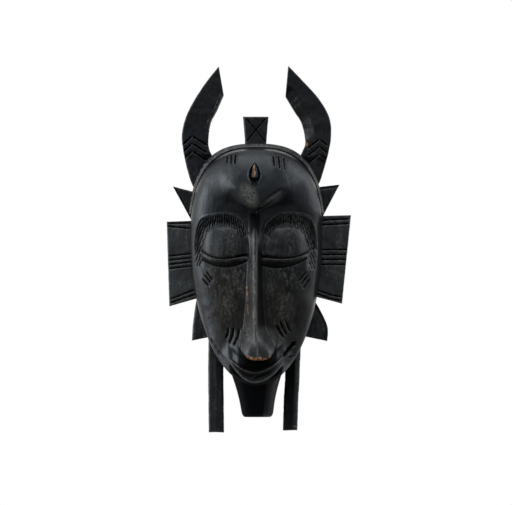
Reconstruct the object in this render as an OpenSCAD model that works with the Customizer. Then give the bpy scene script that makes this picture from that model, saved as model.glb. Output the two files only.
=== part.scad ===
// Carved wooden wall mask with a long closed-eyed face, horns, ear plates and a keyhole hanger.
// Millimetres. +Z is up, the face looks along -Y, and the back plane that meets the wall is y = 0.
// The origin is the centre of the keyhole's round entry, on the back plane.

/* [Face oval] */
// Height of the face oval, from the crown to the lower lip
face_h = 212; // [177:1:254]
// Half-width of the oval at the cheekbones
face_half = 59; // [49.5:0.5:70.5]
// From the crown down to the widest line of the oval
widest_drop = 81; // [68:0.5:97]
// Depth of the oval's edge in front of the back plane, at the sides
edge_depth = 26; // [22:0.5:31]
// Depth of the oval's edge under the lips
lip_edge_depth = 45; // [38:0.5:54]
// Depth of the smooth cheeks, before brow, nose and mouth are raised from them
core_depth = 51; // [43:0.5:61]

/* [Features] */
// How far the forehead stands in front of the eye area
brow_step = 10; // [8.5:0.5:12]
// From the crown down to the point where the brows meet
brow_drop = 54; // [45:1:64]
// Distance from the middle of the face to the middle of each eye
eye_offset = 29; // [25:0.5:33]
// From the crown down to the eye slits
eye_drop = 97; // [81:1:116]
// How far each eyelid bulges
lid_bulge = 7.5; // [6.5:0.5:9]
// How far the nose's tip stands in front of the cheeks
nose_height = 28; // [23.5:0.5:33.5]
// How far the nose's root stands in front of the cheeks
nose_root_height = 4; // [3.5:0.5:4.5]
// Half-width of the nose at the nostrils
nose_half = 15; // [12.5:0.5:18]
// From the nose's lower edge down to the upper lip
lip_gap = 7.5; // [6.5:0.5:9]
// How far the mouth stands in front of the cheeks
mouth_bulge = 16; // [13.5:0.5:19]
// Half-width of the mouth
mouth_half = 25; // [21:0.5:29]
// Width of the short cuts on the forehead and the cheeks
scar_w = 1.3; // [1.1:0.1:1.5]
// Depth of the short cuts
scar_d = 1.3; // [1.1:0.1:1.5]

/* [Shell] */
// Thickness of the back rim, from the back plane to the face shell
rim_t = 14; // [12:0.5:17]
// Width of the back rim at the sides
rim_w = 12; // [10:0.5:14]
// Height of the back rim's solid part at the crown
crown_w = 22; // [21:0.5:26.5]
// Height of the back rim's solid part under the lips
foot_w = 17; // [14.5:0.5:20]
// Least thickness of the face shell
wall = 9; // [7.5:0.5:10.5]
// Greatest depth of the hollow behind the face
hollow_depth = 38; // [32:1:45]

/* [Crown band and crest] */
// Depth of the band round the crown
band_depth = 22; // [18.5:0.5:26]
// Width of the band at its ends, by the temples
band_w = 2.2; // [1.9:0.1:2.6]
// How much wider the band grows at the top of the crown
band_swell = 2.4; // [2:0.1:2.9]
// Height of the crest block above the band
crest_h = 24; // [20:0.2:28.8]
// Width of the crest block at its top
crest_top_w = 22.8; // [19:0.2:27.2]
// Width of the crest block at the band
crest_foot_w = 18.6; // [15.6:0.2:22.2]
// Thickness of the crest block
crest_t = 18; // [15:0.5:21.5]

/* [Boards] */
// Thickness of the horns
horn_t = 16; // [13.5:0.5:19]
// Thickness of the ear spikes, ear plates and jaw fins
board_t = 13; // [11:0.5:15.5]
// Thickness of the legs
leg_t = 14; // [12:0.5:16.5]
// Width of the legs
leg_w = 14; // [11.5:0.5:17]
// Height that the legs reach below the oval
leg_reach = 43; // [36:0.5:51.5]
// Width of the carved grooves
groove_w = 1.2; // [1:0.1:1.4]
// Depth of the carved grooves
groove_d = 1.4; // [1.2:0.1:1.6]

/* [Beard] */
// Height that the beard reaches below the oval
beard_reach = 28.5; // [24:0.5:34]
// Half-width of the beard at its foot
beard_foot_half = 14.5; // [12.5:0.5:17]
// Depth of the beard's front at its foot
beard_foot_depth = 34; // [29:0.5:40]
// Depth of the beard's front under the lip
beard_top_depth = 42; // [36:0.5:44]
// Depth of the beard's flat back
beard_back = 4; // [3.5:0.5:4.5]

/* [Hanger] */
// Width of the keyhole plate
plate_w = 34; // [32:0.5:41]
// Height of the keyhole plate
plate_h = 16; // [15.5:0.5:17]
// Thickness of the keyhole plate
plate_t = 2; // [1.7:0.1:2.4]
// Radius of the keyhole's round entry
entry_r = 4.5; // [4:0.1:4.6]
// Width of the keyhole's slot
slot_w = 4.6; // [4:0.1:5]
// Distance between the two plate screws
screw_gap = 23; // [22:0.5:25]
// Radius of the screws' shanks
screw_r = 1.5; // [1.3:0.1:1.8]
// Length of the screws
screw_l = 11; // [9.5:0.5:11.5]
// Free space round the plate in its recess
plate_clear = 0.2; // [0.1:0.05:0.3]

/* [Hidden] */

wood = [0.09, 0.09, 0.1];
steel = [0.7, 0.66, 0.55];

// The oval hangs a little above the keyhole: its crown clears the top of the plate.
crown_z = 13.5;
foot_z = crown_z - face_h;
widest_z = crown_z - widest_drop;

// Grid of the face: rows from crown to lip, columns from ear to ear, rings of the hollow.
ROWS = 72;
COLS = 60;
RINGS = 7;

LEFT = -1;
RIGHT = 1;

// ---------- Helpers ----------

// 0 up to low, 1 from high on, and a soft step between them.
function smooth(low, high, v) = let (k = min(1, max(0, (v - low) / (high - low)))) k * k * (3 - 2 * k);
function bell(v, reach) = exp(-pow(v / reach, 2));

// A curve through the points p, with n steps between neighbours (Catmull-Rom).
function curve(p, n = 6) = [
    for (i = [0 : len(p) - 2]) for (k = [0 : n - 1])
        let (a = p[max(i - 1, 0)], b = p[i], c = p[i + 1], d = p[min(i + 2, len(p) - 1)], t = k / n)
            0.5 * (2 * b + (c - a) * t + (2 * a - 5 * b + 4 * c - d) * t * t
                + (3 * b - a - 3 * c + d) * t * t * t),
    p[len(p) - 1]
];

function flip(p, side) = [for (q = p) [side * q[0], q[1]]];
function reverse(p) = [for (i = [len(p) - 1 : -1 : 0]) p[i]];

// A flat board: a shape drawn in x and z, from the back plane forward.
module slab(t, back = 0) {
    translate([0, -back, 0]) rotate([90, 0, 0]) linear_extrude(t - back) children();
}

// ---------- The oval ----------

// Two half ovals meet at the widest line: a blunt one above it and an ellipse below.
function power(z) = z > widest_z ? 2.6 : 2;
function reach(z, top, foot) = z > widest_z ? top - widest_z : widest_z - foot;
function half_width(z, half = face_half, top = crown_z, foot = foot_z) =
    let (p = power(z), s = min(1, abs(z - widest_z) / reach(z, top, foot))) half * pow(1 - pow(s, p), 1 / p);

// 0 on the widest line's middle, 1 on the oval's edge.
function radius(x, z) =
    let (p = power(z), s = abs(z - widest_z) / reach(z, crown_z, foot_z))
        min(1, pow(pow(abs(x) / face_half, p) + pow(s, p), 1 / p));

// Share of the way down at row i: the rows lie closer together towards the crown and the lip.
function row(i) = let (s = 2 * i / ROWS - 1) 0.5 + 0.5 * s * (1.35 - 0.35 * s * s);

// Closed outline, down the right side and up the left: point i of 2 * ROWS.
function outline(i, half, top, foot) =
    let (k = i <= ROWS ? i : 2 * ROWS - i, z = k == ROWS ? foot : top + (foot - top) * row(k))
        [(i <= ROWS ? 1 : -1) * (k == 0 || k == ROWS ? 0 : half_width(z, half, top, foot)), z];
function oval_point(i) = outline((i + 2 * ROWS) % (2 * ROWS), face_half, crown_z, foot_z);
function oval_loop() = [for (i = [0 : 2 * ROWS - 1]) oval_point(i)];

// The same outline moved out by the band's width, which grows towards the crown.
function band_grow(z) = band_w + band_swell * smooth(widest_z + 20, crown_z, z);
function band_point(i) =
    let (p = oval_point(i), d = oval_point(i + 1) - oval_point(i - 1), n = [-d[1], d[0]] / norm(d))
        p + band_grow(p[1]) * n;
function band_loop() = [for (i = [0 : 2 * ROWS - 1]) band_point(i)];

hollow_top = crown_z - crown_w;
hollow_foot = foot_z + foot_w;
function hollow_loop() =
    [for (i = [0 : 2 * ROWS - 1]) outline(i, face_half - rim_w, hollow_top, hollow_foot)];

// ---------- The carved relief ----------

brow_z = crown_z - brow_drop;
eye_z = crown_z - eye_drop;
lip_z = foot_z + 12.5;
nose_foot_z = lip_z + lip_gap;
nose_root_z = brow_z - 3;

function edge(z) = edge_depth + (lip_edge_depth - edge_depth) * smooth(foot_z + 70, foot_z, z);
function core(z) = core_depth + 3 * smooth(brow_z - 10, brow_z + 20, z) + 4 * smooth(eye_z - 60, foot_z, z);
function dome(x, z) = edge(z) + (core(z) - edge(z)) * pow(1 - pow(radius(x, z), 3), 0.55);

// The forehead ends in a crest shaped like a wide V and steps back below it.
function crest_z(x) = let (d = sqrt(x * x + 2)) brow_z + 0.78 * d - 0.006 * d * d;
function brow(x, z) =
    brow_step * smooth(-4 - 0.3 * abs(x), 2.5 + 0.12 * abs(x), z - crest_z(x)) * (1 - smooth(12, 46, abs(x)));

// The boss on the forehead, a pointed oval.
boss = [-1.6, crown_z - 24, 5.2, 10.8];
function boss_share(x, z) =
    let (v = (z - boss[1]) / boss[3]) abs(v) >= 1 ? 9 : abs(x - boss[0]) / (boss[2] * (1 - v * v));
function raised_boss(x, z) = let (q = boss_share(x, z)) q < 1 ? 2.8 * pow(1 - q, 0.7) : 0;

// Each eye: an arched socket, a bulging closed lid, its slit and the lower lid's roll.
socket_a = 24.5;
socket_b = 37;
socket_down = 9;
lid_a = 20.5;
lid_b = 28;
function slit_z(d) = eye_z + 0.0117 * d * d + 0.09 * d;
function socket(d, up) =
    let (q = pow(pow(abs(d) / socket_a, 2.2) + pow(abs(up) / (up > 0 ? socket_b : socket_down), 2.2), 1 / 2.2))
        -4.5 * (1 - smooth(0.82, 1.04, q));
function lid(d, up) =
    let (room = max(0, 1 - pow(d / lid_a, 2)))
        up >= 0
            ? lid_bulge * pow(max(0, room - pow(up / lid_b, 2)), 0.8)
            : (lid_bulge - 2) * pow(room, 0.8) * (1 - smooth(4.5, 10, -up));
function slit(d, up) = abs(d) > lid_a ? 0 : -2.4 * bell(up, 2);
function eye(x, z) = let (d = abs(x) - eye_offset, up = z - slit_z(d)) socket(d, up) + lid(d, up) + slit(d, up);

// The nose: a flat ridge that widens and rises down to the nostrils and ends in a curved cut.
function nose_share(z) = min(1, max(0, (nose_root_z - z) / (nose_root_z - nose_foot_z)));
function nose_x(z) = 0.3 + 1.4 * nose_share(z);
function nose_w(z) = let (k = nose_share(z)) 5.5 + 4.5 * k + (nose_half - 10) * smooth(0.82, 0.96, k);
function nose_cut(d) = nose_foot_z + 0.05 * d * d;
function nose_ridge(z) = core_depth + nose_root_height + (nose_height - nose_root_height) * nose_share(z);
function nose_cover(x, z) =
    let (d = x - nose_x(z))
        (1 - smooth(0.35, 1, abs(d) / nose_w(z)))
            * smooth(-2.2, 1.2, z - nose_cut(d)) * (1 - smooth(-4, 3, z - nose_root_z));
function with_nose(x, z, face) = face + nose_cover(x, z) * max(0, nose_ridge(z) - face);

// The mouth: a raised muzzle, with two curved ridges for the lips.
function muzzle(x, z) =
    let (q = sqrt(pow(x / 36, 2) + pow(max(0, z - lip_z) / 42, 2))) mouth_bulge * (1 - smooth(0.3, 1, q));
function upper_lip(x) = lip_z + 0.018 * x * x;
function lower_lip(x) = lip_z - 9 + 0.026 * x * x;
function lips(x, z) =
    let (side = 1 - smooth(mouth_half - 7, mouth_half, abs(x)))
        side * (3.2 * bell(z - upper_lip(x), 2) + 2.6 * bell(z - lower_lip(x), 2.4)
            - 2.5 * smooth(-1, 2, z - upper_lip(x)) * (1 - smooth(10, 15, z - upper_lip(x))));

function carving(x, z) = brow(x, z) + raised_boss(x, z) + eye(x, z) + muzzle(x, z) + lips(x, z);
function relief(x, z) =
    with_nose(x, z, dome(x, z) + (1 - smooth(0.975, 1, radius(x, z))) * carving(x, z));

// Depth of the hollow at the share k of the way from its middle to its mouth.
function bowl(p, k) =
    min(rim_t + (hollow_depth - rim_t) * pow(1 - pow(k, 2.4), 0.7), max(rim_t, relief(p[0], p[1]) - wall));

// ---------- Face shell ----------

// Front rows, then the wall's back loop, the hollow's mouth and its inner rings, ending in one point.
module carved_face() {
    hub = [0, (hollow_top + hollow_foot) / 2];
    mouth = hollow_loop();
    n = 2 * ROWS;
    // Columns lie closer together near the nose.
    function column(j) = let (u = 2 * j / COLS - 1) u * (0.62 + 0.38 * abs(u));
    front = [
        for (i = [0 : ROWS]) for (j = [0 : COLS])
            let (p = oval_point(i), x = column(j) * p[0])
                if ((i > 0 && i < ROWS) || j == 0) [x, -relief(x, p[1]), p[1]]
    ];
    // Index of the front grid's point in row i and column j: the first and last rows are one point.
    function at(i, j) = i == 0 ? 0 : i == ROWS ? (ROWS - 1) * (COLS + 1) + 1 : 1 + (i - 1) * (COLS + 1) + j;
    function rim(i) = i <= ROWS ? at(i, COLS) : at(n - i, 0);
    first = len(front);
    back = [
        for (p = oval_loop()) [p[0], -rim_t, p[1]],
        for (r = [0 : RINGS - 1]) for (p = mouth)
            let (k = 1 - r / RINGS, q = hub + k * (p - hub)) [q[0], -bowl(q, k), q[1]],
        [hub[0], -bowl(hub, 0), hub[1]]
    ];
    function ring(r, i) = first + r * n + (i + n) % n;
    faces = [
        for (j = [0 : COLS - 1]) [at(0, 0), at(1, j), at(1, j + 1)],
        for (i = [1 : ROWS - 2]) for (j = [0 : COLS - 1]) each [
            [at(i, j), at(i + 1, j), at(i + 1, j + 1)],
            [at(i, j), at(i + 1, j + 1), at(i, j + 1)]
        ],
        for (j = [0 : COLS - 1]) [at(ROWS, 0), at(ROWS - 1, j + 1), at(ROWS - 1, j)],
        for (i = [0 : n - 1]) each [
            [rim(i), ring(0, i + 1), ring(0, i)],
            [rim(i), rim((i + 1) % n), ring(0, i + 1)]
        ],
        for (r = [0 : RINGS - 1]) for (i = [0 : n - 1]) each [
            [ring(r, i), ring(r, i + 1), ring(r + 1, i + 1)],
            [ring(r, i), ring(r + 1, i + 1), ring(r + 1, i)]
        ],
        for (i = [0 : n - 1]) [ring(RINGS, i), ring(RINGS, i + 1), first + (RINGS + 1) * n]
    ];
    polyhedron(concat(front, back), [for (f = faces) reverse(f)]);
}

// One short cut, from p to q in x and z, following the face's depth.
module scar(p, q) {
    d = q - p;
    m = (p + q) / 2;
    depth = relief(m[0], m[1]) - scar_d;
    rise = relief(q[0], q[1]) - relief(p[0], p[1]);
    translate([m[0], -depth, m[1]]) rotate([0, -atan2(d[1], d[0]), 0]) rotate([0, 0, -atan2(rise, norm(d))])
        translate([-norm(d) / 2, -6, -scar_w / 2]) cube([norm(d), 6, scar_w]);
}

// A row of n parallel cuts, each moved by step from the one before.
module scars(p, q, step, n = 3) {
    for (i = [0 : n - 1]) scar(p + i * step, q + i * step);
}

module all_scars() {
    // On the forehead, beside the boss.
    scars([-27, crown_z - 6], [-26.5, crown_z - 15], [3.7, 1]);
    scars([16.5, crown_z - 5], [16.5, crown_z - 17], [4.2, -0.6]);
    // Beside the eyes.
    scars([-48.5, eye_z - 17.5], [-42.6, eye_z - 26.5], [1.7, 2.8]);
    scars([44.5, eye_z - 12.5], [37, eye_z - 23], [2.2, -2.2]);
    // Beside the nostrils.
    scars([-24.8, nose_foot_z + 30], [-27, nose_foot_z + 19], [4.7, 0]);
    scars([17.4, nose_foot_z + 31], [23, nose_foot_z + 20], [4, 2.6]);
}

module face_shell() {
    color(wood) difference() {
        carved_face();
        all_scars();
    }
}

// ---------- Back rim and hanger ----------

slot_top = entry_r + 3.7;
plate_mid_z = (slot_top + 2.6 - entry_r - 1.4) / 2;
head_room = 9;
screw_head_r = 3.2;
screw_head_h = 1.7;
screw_point = 1.5;

module stadium(w, h) {
    square([w - h, h], center = true);
    for (s = [-1, 1]) translate([s * (w - h) / 2, 0]) circle(d = h, $fn = 48);
}

module keyhole() {
    circle(entry_r, $fn = 64);
    translate([-slot_w / 2, 0]) square([slot_w, slot_top - slot_w / 2]);
    translate([0, slot_top - slot_w / 2]) circle(slot_w / 2, $fn = 48);
}

module at_screws() {
    for (s = [-1, 1]) translate([s * screw_gap / 2, 0, plate_mid_z]) rotate([90, 0, 0]) children();
}

// Recess for the plate, the deeper space for a nail's head behind it, and the screw holes.
module plate_pocket() {
    translate([0, 0, plate_mid_z]) slab(plate_t, -1)
        stadium(plate_w + 2 * plate_clear, plate_h + 2 * plate_clear);
    translate([0, 0, (slot_top - entry_r) / 2]) slab(head_room, -1)
        square([2 * entry_r + 1, slot_top + entry_r + 1], center = true);
    at_screws() cylinder(r = screw_r, h = screw_l, $fn = 32);
}

module back_rim() {
    color(wood) difference() {
        slab(rim_t) polygon(oval_loop());
        slab(rim_t + 1, -1) polygon(hollow_loop());
        plate_pocket();
    }
}

module keyhole_plate() {
    color(steel) difference() {
        translate([0, 0, plate_mid_z]) slab(plate_t) stadium(plate_w, plate_h);
        slab(plate_t + 1, -1) keyhole();
        at_screws() {
            translate([0, 0, -1]) cylinder(r = screw_r, h = plate_t + 2, $fn = 32);
            cylinder(r1 = screw_head_r, r2 = screw_r, h = screw_head_h, $fn = 32);
        }
    }
}

module plate_screws() {
    color(steel) at_screws() {
        cylinder(r1 = screw_head_r, r2 = screw_r, h = screw_head_h, $fn = 32);
        cylinder(r = screw_r, h = screw_l - screw_point, $fn = 32);
        translate([0, 0, screw_l - screw_point]) cylinder(r1 = screw_r, r2 = 0.3, h = screw_point, $fn = 32);
    }
}

// ---------- Boards ----------

// What stands out from the crown is cut to the band, and what stands out lower down to the oval.
module outside_band(t) {
    difference() {
        slab(t) children();
        slab(t + 1, -1) polygon(band_loop());
    }
}

module outside_oval(t) {
    difference() {
        slab(t) children();
        slab(t + 1, -1) polygon(oval_loop());
    }
}

// The boards' outlines are drawn for an oval 59 half-wide, 81 down to its widest line and 131 below.
// Their points move along when the oval is resized.
function place(p) = [
    for (q = p)
        [q[0] * face_half / 59, q[1] > -67.5 ? crown_z + (q[1] - 13.5) * widest_drop / 81
                                             : widest_z + (q[1] + 67.5) * (widest_z - foot_z) / 131]
];

// A straight groove cut into the front of a board of thickness t, from p to q.
module groove(p, q, t) {
    d = q - p;
    translate([p[0], -t - 1, p[1]]) rotate([0, -atan2(d[1], d[0]), 0])
        translate([0, 0, -groove_w / 2]) cube([norm(d), groove_d + 1, groove_w]);
}

// ---------- Crown band and crest ----------

// The band follows the oval down both sides to the ear spikes, a third of the rows.
BAND_ROWS = ROWS / 3;

module band_shape() {
    outer = [for (i = [-BAND_ROWS : BAND_ROWS]) band_point(i)];
    inner = [for (i = [-BAND_ROWS : BAND_ROWS]) oval_point(i)];
    polygon(concat(outer, reverse(inner)));
}

module crown_band() {
    color(wood) slab(band_depth) band_shape();
}

module crest_block() {
    foot = crown_z + band_grow(crown_z);
    top = foot + crest_h;
    wide = crest_top_w / 2;
    narrow = crest_foot_w / 2;
    half = [[narrow, foot - 3], [narrow, foot], [wide, top]];
    color(wood) difference() {
        outside_band(crest_t) polygon(concat(half, reverse(flip(half, -1))));
        groove([-narrow + 1.6, foot + 1.8], [wide - 2, top - 1.6], crest_t);
        groove([narrow - 1.6, foot + 1.8], [-wide + 2, top - 1.6], crest_t);
    }
}

// ---------- Horns ----------

// Outer edge from the tip to the root, and inner edge from the cut end to the root.
left_horn_outer = [
    [33.8, 87.3], [44.6, 73.8], [55.4, 57.6], [63.5, 41.4], [67.2, 25.2], [65.3, 9], [61.7, -7.2], [57.2, -20.7]
];
left_horn_inner = [[29.3, 61.2], [35.6, 46.8], [41, 36], [43.2, 19.8], [41.5, 10.8]];
right_horn_outer = [
    [28.4, 87.8], [41.9, 73.8], [56.3, 57.6], [65.3, 41.4], [67, 25.2], [64.4, 9], [59.9, -7.2], [56.5, -17.8]
];
right_horn_inner = [[25.9, 60], [33.8, 46.8], [40.4, 36], [43.7, 19.8], [41, 10.8]];
horn_root = [30, -25];

// Three chevrons are cut across each horn: one arm runs outward and down from the apex, one inward.
module horn(side, outer, inner, apex) {
    color(wood) difference() {
        outside_band(horn_t)
            polygon(flip(place(concat(curve(outer), [horn_root], reverse(curve(inner)))), side));
        for (i = [0 : 2]) {
            arms = flip(place([for (q = [[0, 0], [9.5, -8.5], [-14, -9]]) apex + q - [0, 6.6 * i]]), side);
            groove(arms[0], arms[1], horn_t);
            groove(arms[0], arms[2], horn_t);
        }
    }
}

module left_horn() {
    horn(LEFT, left_horn_outer, left_horn_inner, [57.5, 24]);
}

module right_horn() {
    horn(RIGHT, right_horn_outer, right_horn_inner, [57, 22]);
}

// ---------- Ear spikes, ear plates and jaw fins ----------

// From the tip along the top edge, through the oval, to the lower corner.
module ear_spike(side, tip, top_drop, low) {
    inside = [[side * 40, tip[1] - top_drop], [side * 40, low - 13]];
    color(wood) outside_band(board_t) polygon(place(concat([tip], inside, [[side * 60.5, low]])));
}

module left_ear_spike() {
    ear_spike(LEFT, [-75.2, -20.5], 5.4, -47.5);
}

module right_ear_spike() {
    ear_spike(RIGHT, [74.7, -18.9], 3.5, -45.9);
}

// Corners: outer top, outer foot, inner foot and inner top, the inner ones inside the oval.
// Each groove runs between two shares of the height, at the inner and at the outer edge.
// Where the crown band reaches down to a plate, the plate makes room for it.
module ear_plate(corners, shares) {
    c = place(corners);
    color(wood) difference() {
        outside_oval(board_t) polygon(c);
        slab(board_t + 1, -1) band_shape();
        for (s = shares) groove(c[3] + s[0] * (c[2] - c[3]), c[0] + s[1] * (c[1] - c[0]), board_t);
    }
}

module left_ear_plate() {
    ear_plate([[-80.8, -51.8], [-78.4, -128.2], [-40, -117], [-40, -50.5]],
        [[0.04, 0.03], [0.1, 0.08], [0.4, 0.41], [0.46, 0.46], [0.52, 0.51], [0.58, 0.56],
         [0.88, 0.91], [0.94, 0.96]]);
}

module right_ear_plate() {
    ear_plate([[85, -45.9], [76.9, -125.8], [40, -115.5], [40, -47.4]],
        [[0.05, 0.06], [0.11, 0.12], [0.42, 0.42], [0.48, 0.47], [0.54, 0.52], [0.6, 0.57],
         [0.9, 0.93], [0.95, 0.975]]);
}

// Outlines from the top of the fin out along its edge to the tip, and back through the oval.
left_fin_edge = [[54, -122.5], [55.6, -132], [57.2, -145], [58.2, -158.9]];
left_fin_inside = [[43.9, -156], [32, -145], [36, -118]];
right_fin_edge = [[50, -120], [57.2, -131.4], [62.6, -142.2], [64.4, -150], [63.7, -159.3]];
right_fin_inside = [[42.5, -154.8], [32, -145], [36, -116]];

// A fin stops where the leg below it begins.
module jaw_fin(side, edge, inside) {
    color(wood) difference() {
        outside_oval(board_t) polygon(flip(place(concat(curve(edge), inside)), side));
        leg_bodies(1);
    }
}

module left_jaw_fin() {
    jaw_fin(LEFT, left_fin_edge, left_fin_inside);
}

module right_jaw_fin() {
    jaw_fin(RIGHT, right_fin_edge, right_fin_inside);
}

// ---------- Legs and beard ----------

// Middle line of each leg: x inside the oval, x at the foot, and how much shorter the leg is.
left_leg_line = [-36.6, -36.2, 0];
right_leg_line = [32.6, 30, 1.8];

module leg_shape(line) {
    c = place([[line[0], -150], [line[1], -198.5]]);
    half = [leg_w / 2, 0];
    foot = [c[1][0], foot_z - leg_reach + line[2]];
    polygon([c[0] - half, c[0] + half, foot + half, foot - half]);
}

// Both legs, with extra thickness at the back, to be cut away from what they meet.
module leg_bodies(extra) {
    for (line = [left_leg_line, right_leg_line]) slab(leg_t, -extra) leg_shape(line);
}

module left_leg() {
    color(wood) outside_oval(leg_t) leg_shape(left_leg_line);
}

module right_leg() {
    color(wood) outside_oval(leg_t) leg_shape(right_leg_line);
}

// The beard: levels from under the lip to the foot, each with a flat back and a rounded front.
BEARD_LEVELS = 14;
BEARD_SIDES = 24;
beard_top_z = foot_z + 16;
// Its shoulder leans on the inner side of the right leg.
beard_top_half = place([[right_leg_line[0], 0]])[0][0] - leg_w / 2 + 2.1;
function beard_half(k) =
    beard_foot_half + (beard_top_half - beard_foot_half) * pow(1 - k, 1.7) - 2.5 * pow(k, 12);
function beard_depth(k) = beard_top_depth + (beard_foot_depth - beard_top_depth) * k - 3 * pow(k, 12);
function beard_level(k) = [
    for (i = [0 : BEARD_SIDES])
        let (a = 180 * i / BEARD_SIDES, front = (beard_depth(k) - beard_back) * pow(sin(a), 0.6))
            [beard_half(k) * cos(a), -beard_back - front, beard_top_z - k * (16 + beard_reach)]
];

module beard_body() {
    m = BEARD_SIDES + 1;
    points = [for (i = [0 : BEARD_LEVELS]) each beard_level(i / BEARD_LEVELS)];
    sides = [
        for (i = [0 : BEARD_LEVELS - 1]) for (j = [0 : m - 1])
            let (a = i * m + j, b = i * m + (j + 1) % m) each [[a, b, b + m], [a, b + m, a + m]]
    ];
    ends = [[for (j = [m - 1 : -1 : 0]) j], [for (j = [0 : m - 1]) BEARD_LEVELS * m + j]];
    polyhedron(points, concat(sides, ends));
}

module beard() {
    color(wood) difference() {
        beard_body();
        slab(lip_edge_depth + 20, -1) polygon(oval_loop());
        leg_bodies(1);
    }
}

// ---------- Nodes ----------

face_shell();
back_rim();
crown_band();
crest_block();
left_horn();
right_horn();
left_ear_spike();
right_ear_spike();
left_ear_plate();
right_ear_plate();
left_jaw_fin();
right_jaw_fin();
left_leg();
right_leg();
beard();
keyhole_plate();
plate_screws();
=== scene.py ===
"""Looks of the carved wooden mask: finely carved meshes for every wooden feature, and worn stained wood with
painted shade and highlights.

Shapes are worked out in millimetres and turned into metres when a mesh is made. Like the CAD part, +Z is up,
the face looks along -Y and the back plane is y = 0. A "depth" is the distance in front of that plane.
"""

import functools
import math

import bpy
import numpy as np
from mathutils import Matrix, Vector

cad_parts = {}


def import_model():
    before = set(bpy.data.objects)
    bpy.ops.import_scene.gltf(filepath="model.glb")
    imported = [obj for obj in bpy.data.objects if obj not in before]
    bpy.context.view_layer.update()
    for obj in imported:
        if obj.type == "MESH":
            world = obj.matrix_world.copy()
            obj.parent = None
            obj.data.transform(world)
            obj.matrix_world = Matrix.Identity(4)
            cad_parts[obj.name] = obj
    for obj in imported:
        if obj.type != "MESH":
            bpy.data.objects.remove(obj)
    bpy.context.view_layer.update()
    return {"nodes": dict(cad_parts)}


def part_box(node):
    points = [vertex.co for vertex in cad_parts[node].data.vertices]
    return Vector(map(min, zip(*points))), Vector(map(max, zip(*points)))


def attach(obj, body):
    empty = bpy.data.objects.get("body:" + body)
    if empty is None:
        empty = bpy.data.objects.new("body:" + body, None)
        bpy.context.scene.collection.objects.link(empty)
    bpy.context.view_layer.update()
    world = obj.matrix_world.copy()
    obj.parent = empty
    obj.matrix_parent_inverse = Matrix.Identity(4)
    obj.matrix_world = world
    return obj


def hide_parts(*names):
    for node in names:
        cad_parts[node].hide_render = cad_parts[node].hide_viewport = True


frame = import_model()


# ---------- Sizes from the frame ----------

def box_mm(node):
    low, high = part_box(node)
    return np.array(low) * 1000, np.array(high) * 1000


face_low, face_high = box_mm("face_shell")
FACE_HALF = face_high[0]
CROWN = face_high[2]
FOOT = face_low[2]
WIDEST = CROWN - 81.0  # height at which the oval is widest
RIM_T = -box_mm("back_rim")[0][1]
BAND_DEPTH = -box_mm("crown_band")[0][1]
BAND_TOP = box_mm("crown_band")[1][2]
BAND_FOOT = box_mm("crown_band")[0][2]
HORN_T = -box_mm("left_horn")[0][1]
BOARD_T = -box_mm("left_ear_plate")[0][1]
LEG_T = -box_mm("left_leg")[0][1]
CREST_T = -box_mm("crest_block")[0][1]
BACK = 0.25  # the boards' backs lie this far in front of the rim's back


# ---------- Numbers ----------

def smooth(low, high, v):
    """0 up to low, 1 from high on, and a soft step between them."""
    k = np.clip((v - low) / (high - low), 0.0, 1.0)
    return k * k * (3 - 2 * k)


def unit(v):
    return np.clip(v, 0, 1)


def bell(v, reach):
    return np.exp(-((v / reach) ** 2))


def noise(points, size, seed):
    """Smooth random values from -1 to 1 that change over about size millimetres (a number or one per axis)."""
    table = np.random.default_rng(seed).uniform(-1, 1, (32, 32, 32))
    p = points / np.asarray(size, float)
    low = np.floor(p).astype(int)
    f = p - low
    f = f * f * (3 - 2 * f)
    total = np.zeros(len(p))
    for corner in np.ndindex(2, 2, 2):
        weight = np.prod(np.where(np.array(corner) == 1, f, 1 - f), axis=1)
        i, j, k = ((low + corner) % 32).T
        total += weight * table[i, j, k]
    return total


def at_depth(x, z, depth=0.0):
    """Points x, z and -depth as an array of rows."""
    x, z, depth = np.broadcast_arrays(x, z, depth)
    return np.stack([x.ravel(), -depth.ravel(), z.ravel()], axis=1)


def speckle(x, z, size, seed, depth=0.0):
    """Noise at x, z and a depth, in the shape of x."""
    return noise(at_depth(x, z, depth), size, seed).reshape(np.shape(x))


def strongest(*marks):
    """The highest of several marks at each point."""
    return functools.reduce(np.maximum, marks)


def along(line, x, z):
    """Distance from a polyline, the way along it to its nearest point, and its length."""
    line = np.asarray(line, float)
    best = np.full(np.shape(x), 1e9)
    way = np.zeros(np.shape(x))
    start = 0.0
    for p, q in zip(line[:-1], line[1:]):
        d = q - p
        length = math.hypot(*d)
        t = unit(((x - p[0]) * d[0] + (z - p[1]) * d[1]) / length**2)
        away = np.hypot(x - p[0] - t * d[0], z - p[1] - t * d[1])
        nearer = away < best
        best = np.where(nearer, away, best)
        way = np.where(nearer, start + t * length, way)
        start += length
    return best, way, start


def away_from(line, x, z):
    return along(line, x, z)[0]


def cut(line, x, z, width, depth):
    """Depth of a V-shaped cut along a line, shallower and narrower towards its ends."""
    away, way, length = along(line, x, z)
    ends = smooth(-0.4, 2.6, way) * smooth(-0.4, 2.6, length - way)
    uneven = 1 + 0.18 * np.sin(way * 1.1 + line[0][0]) + 0.1 * np.sin(way * 2.9 + line[0][1])
    return depth * unit(1 - away / (width * uneven * (0.4 + 0.6 * ends))) * (0.1 + 0.9 * ends)


def cuts(lines, x, z, width, depth):
    return sum(cut(line, x, z, width, depth) for line in lines)


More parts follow.
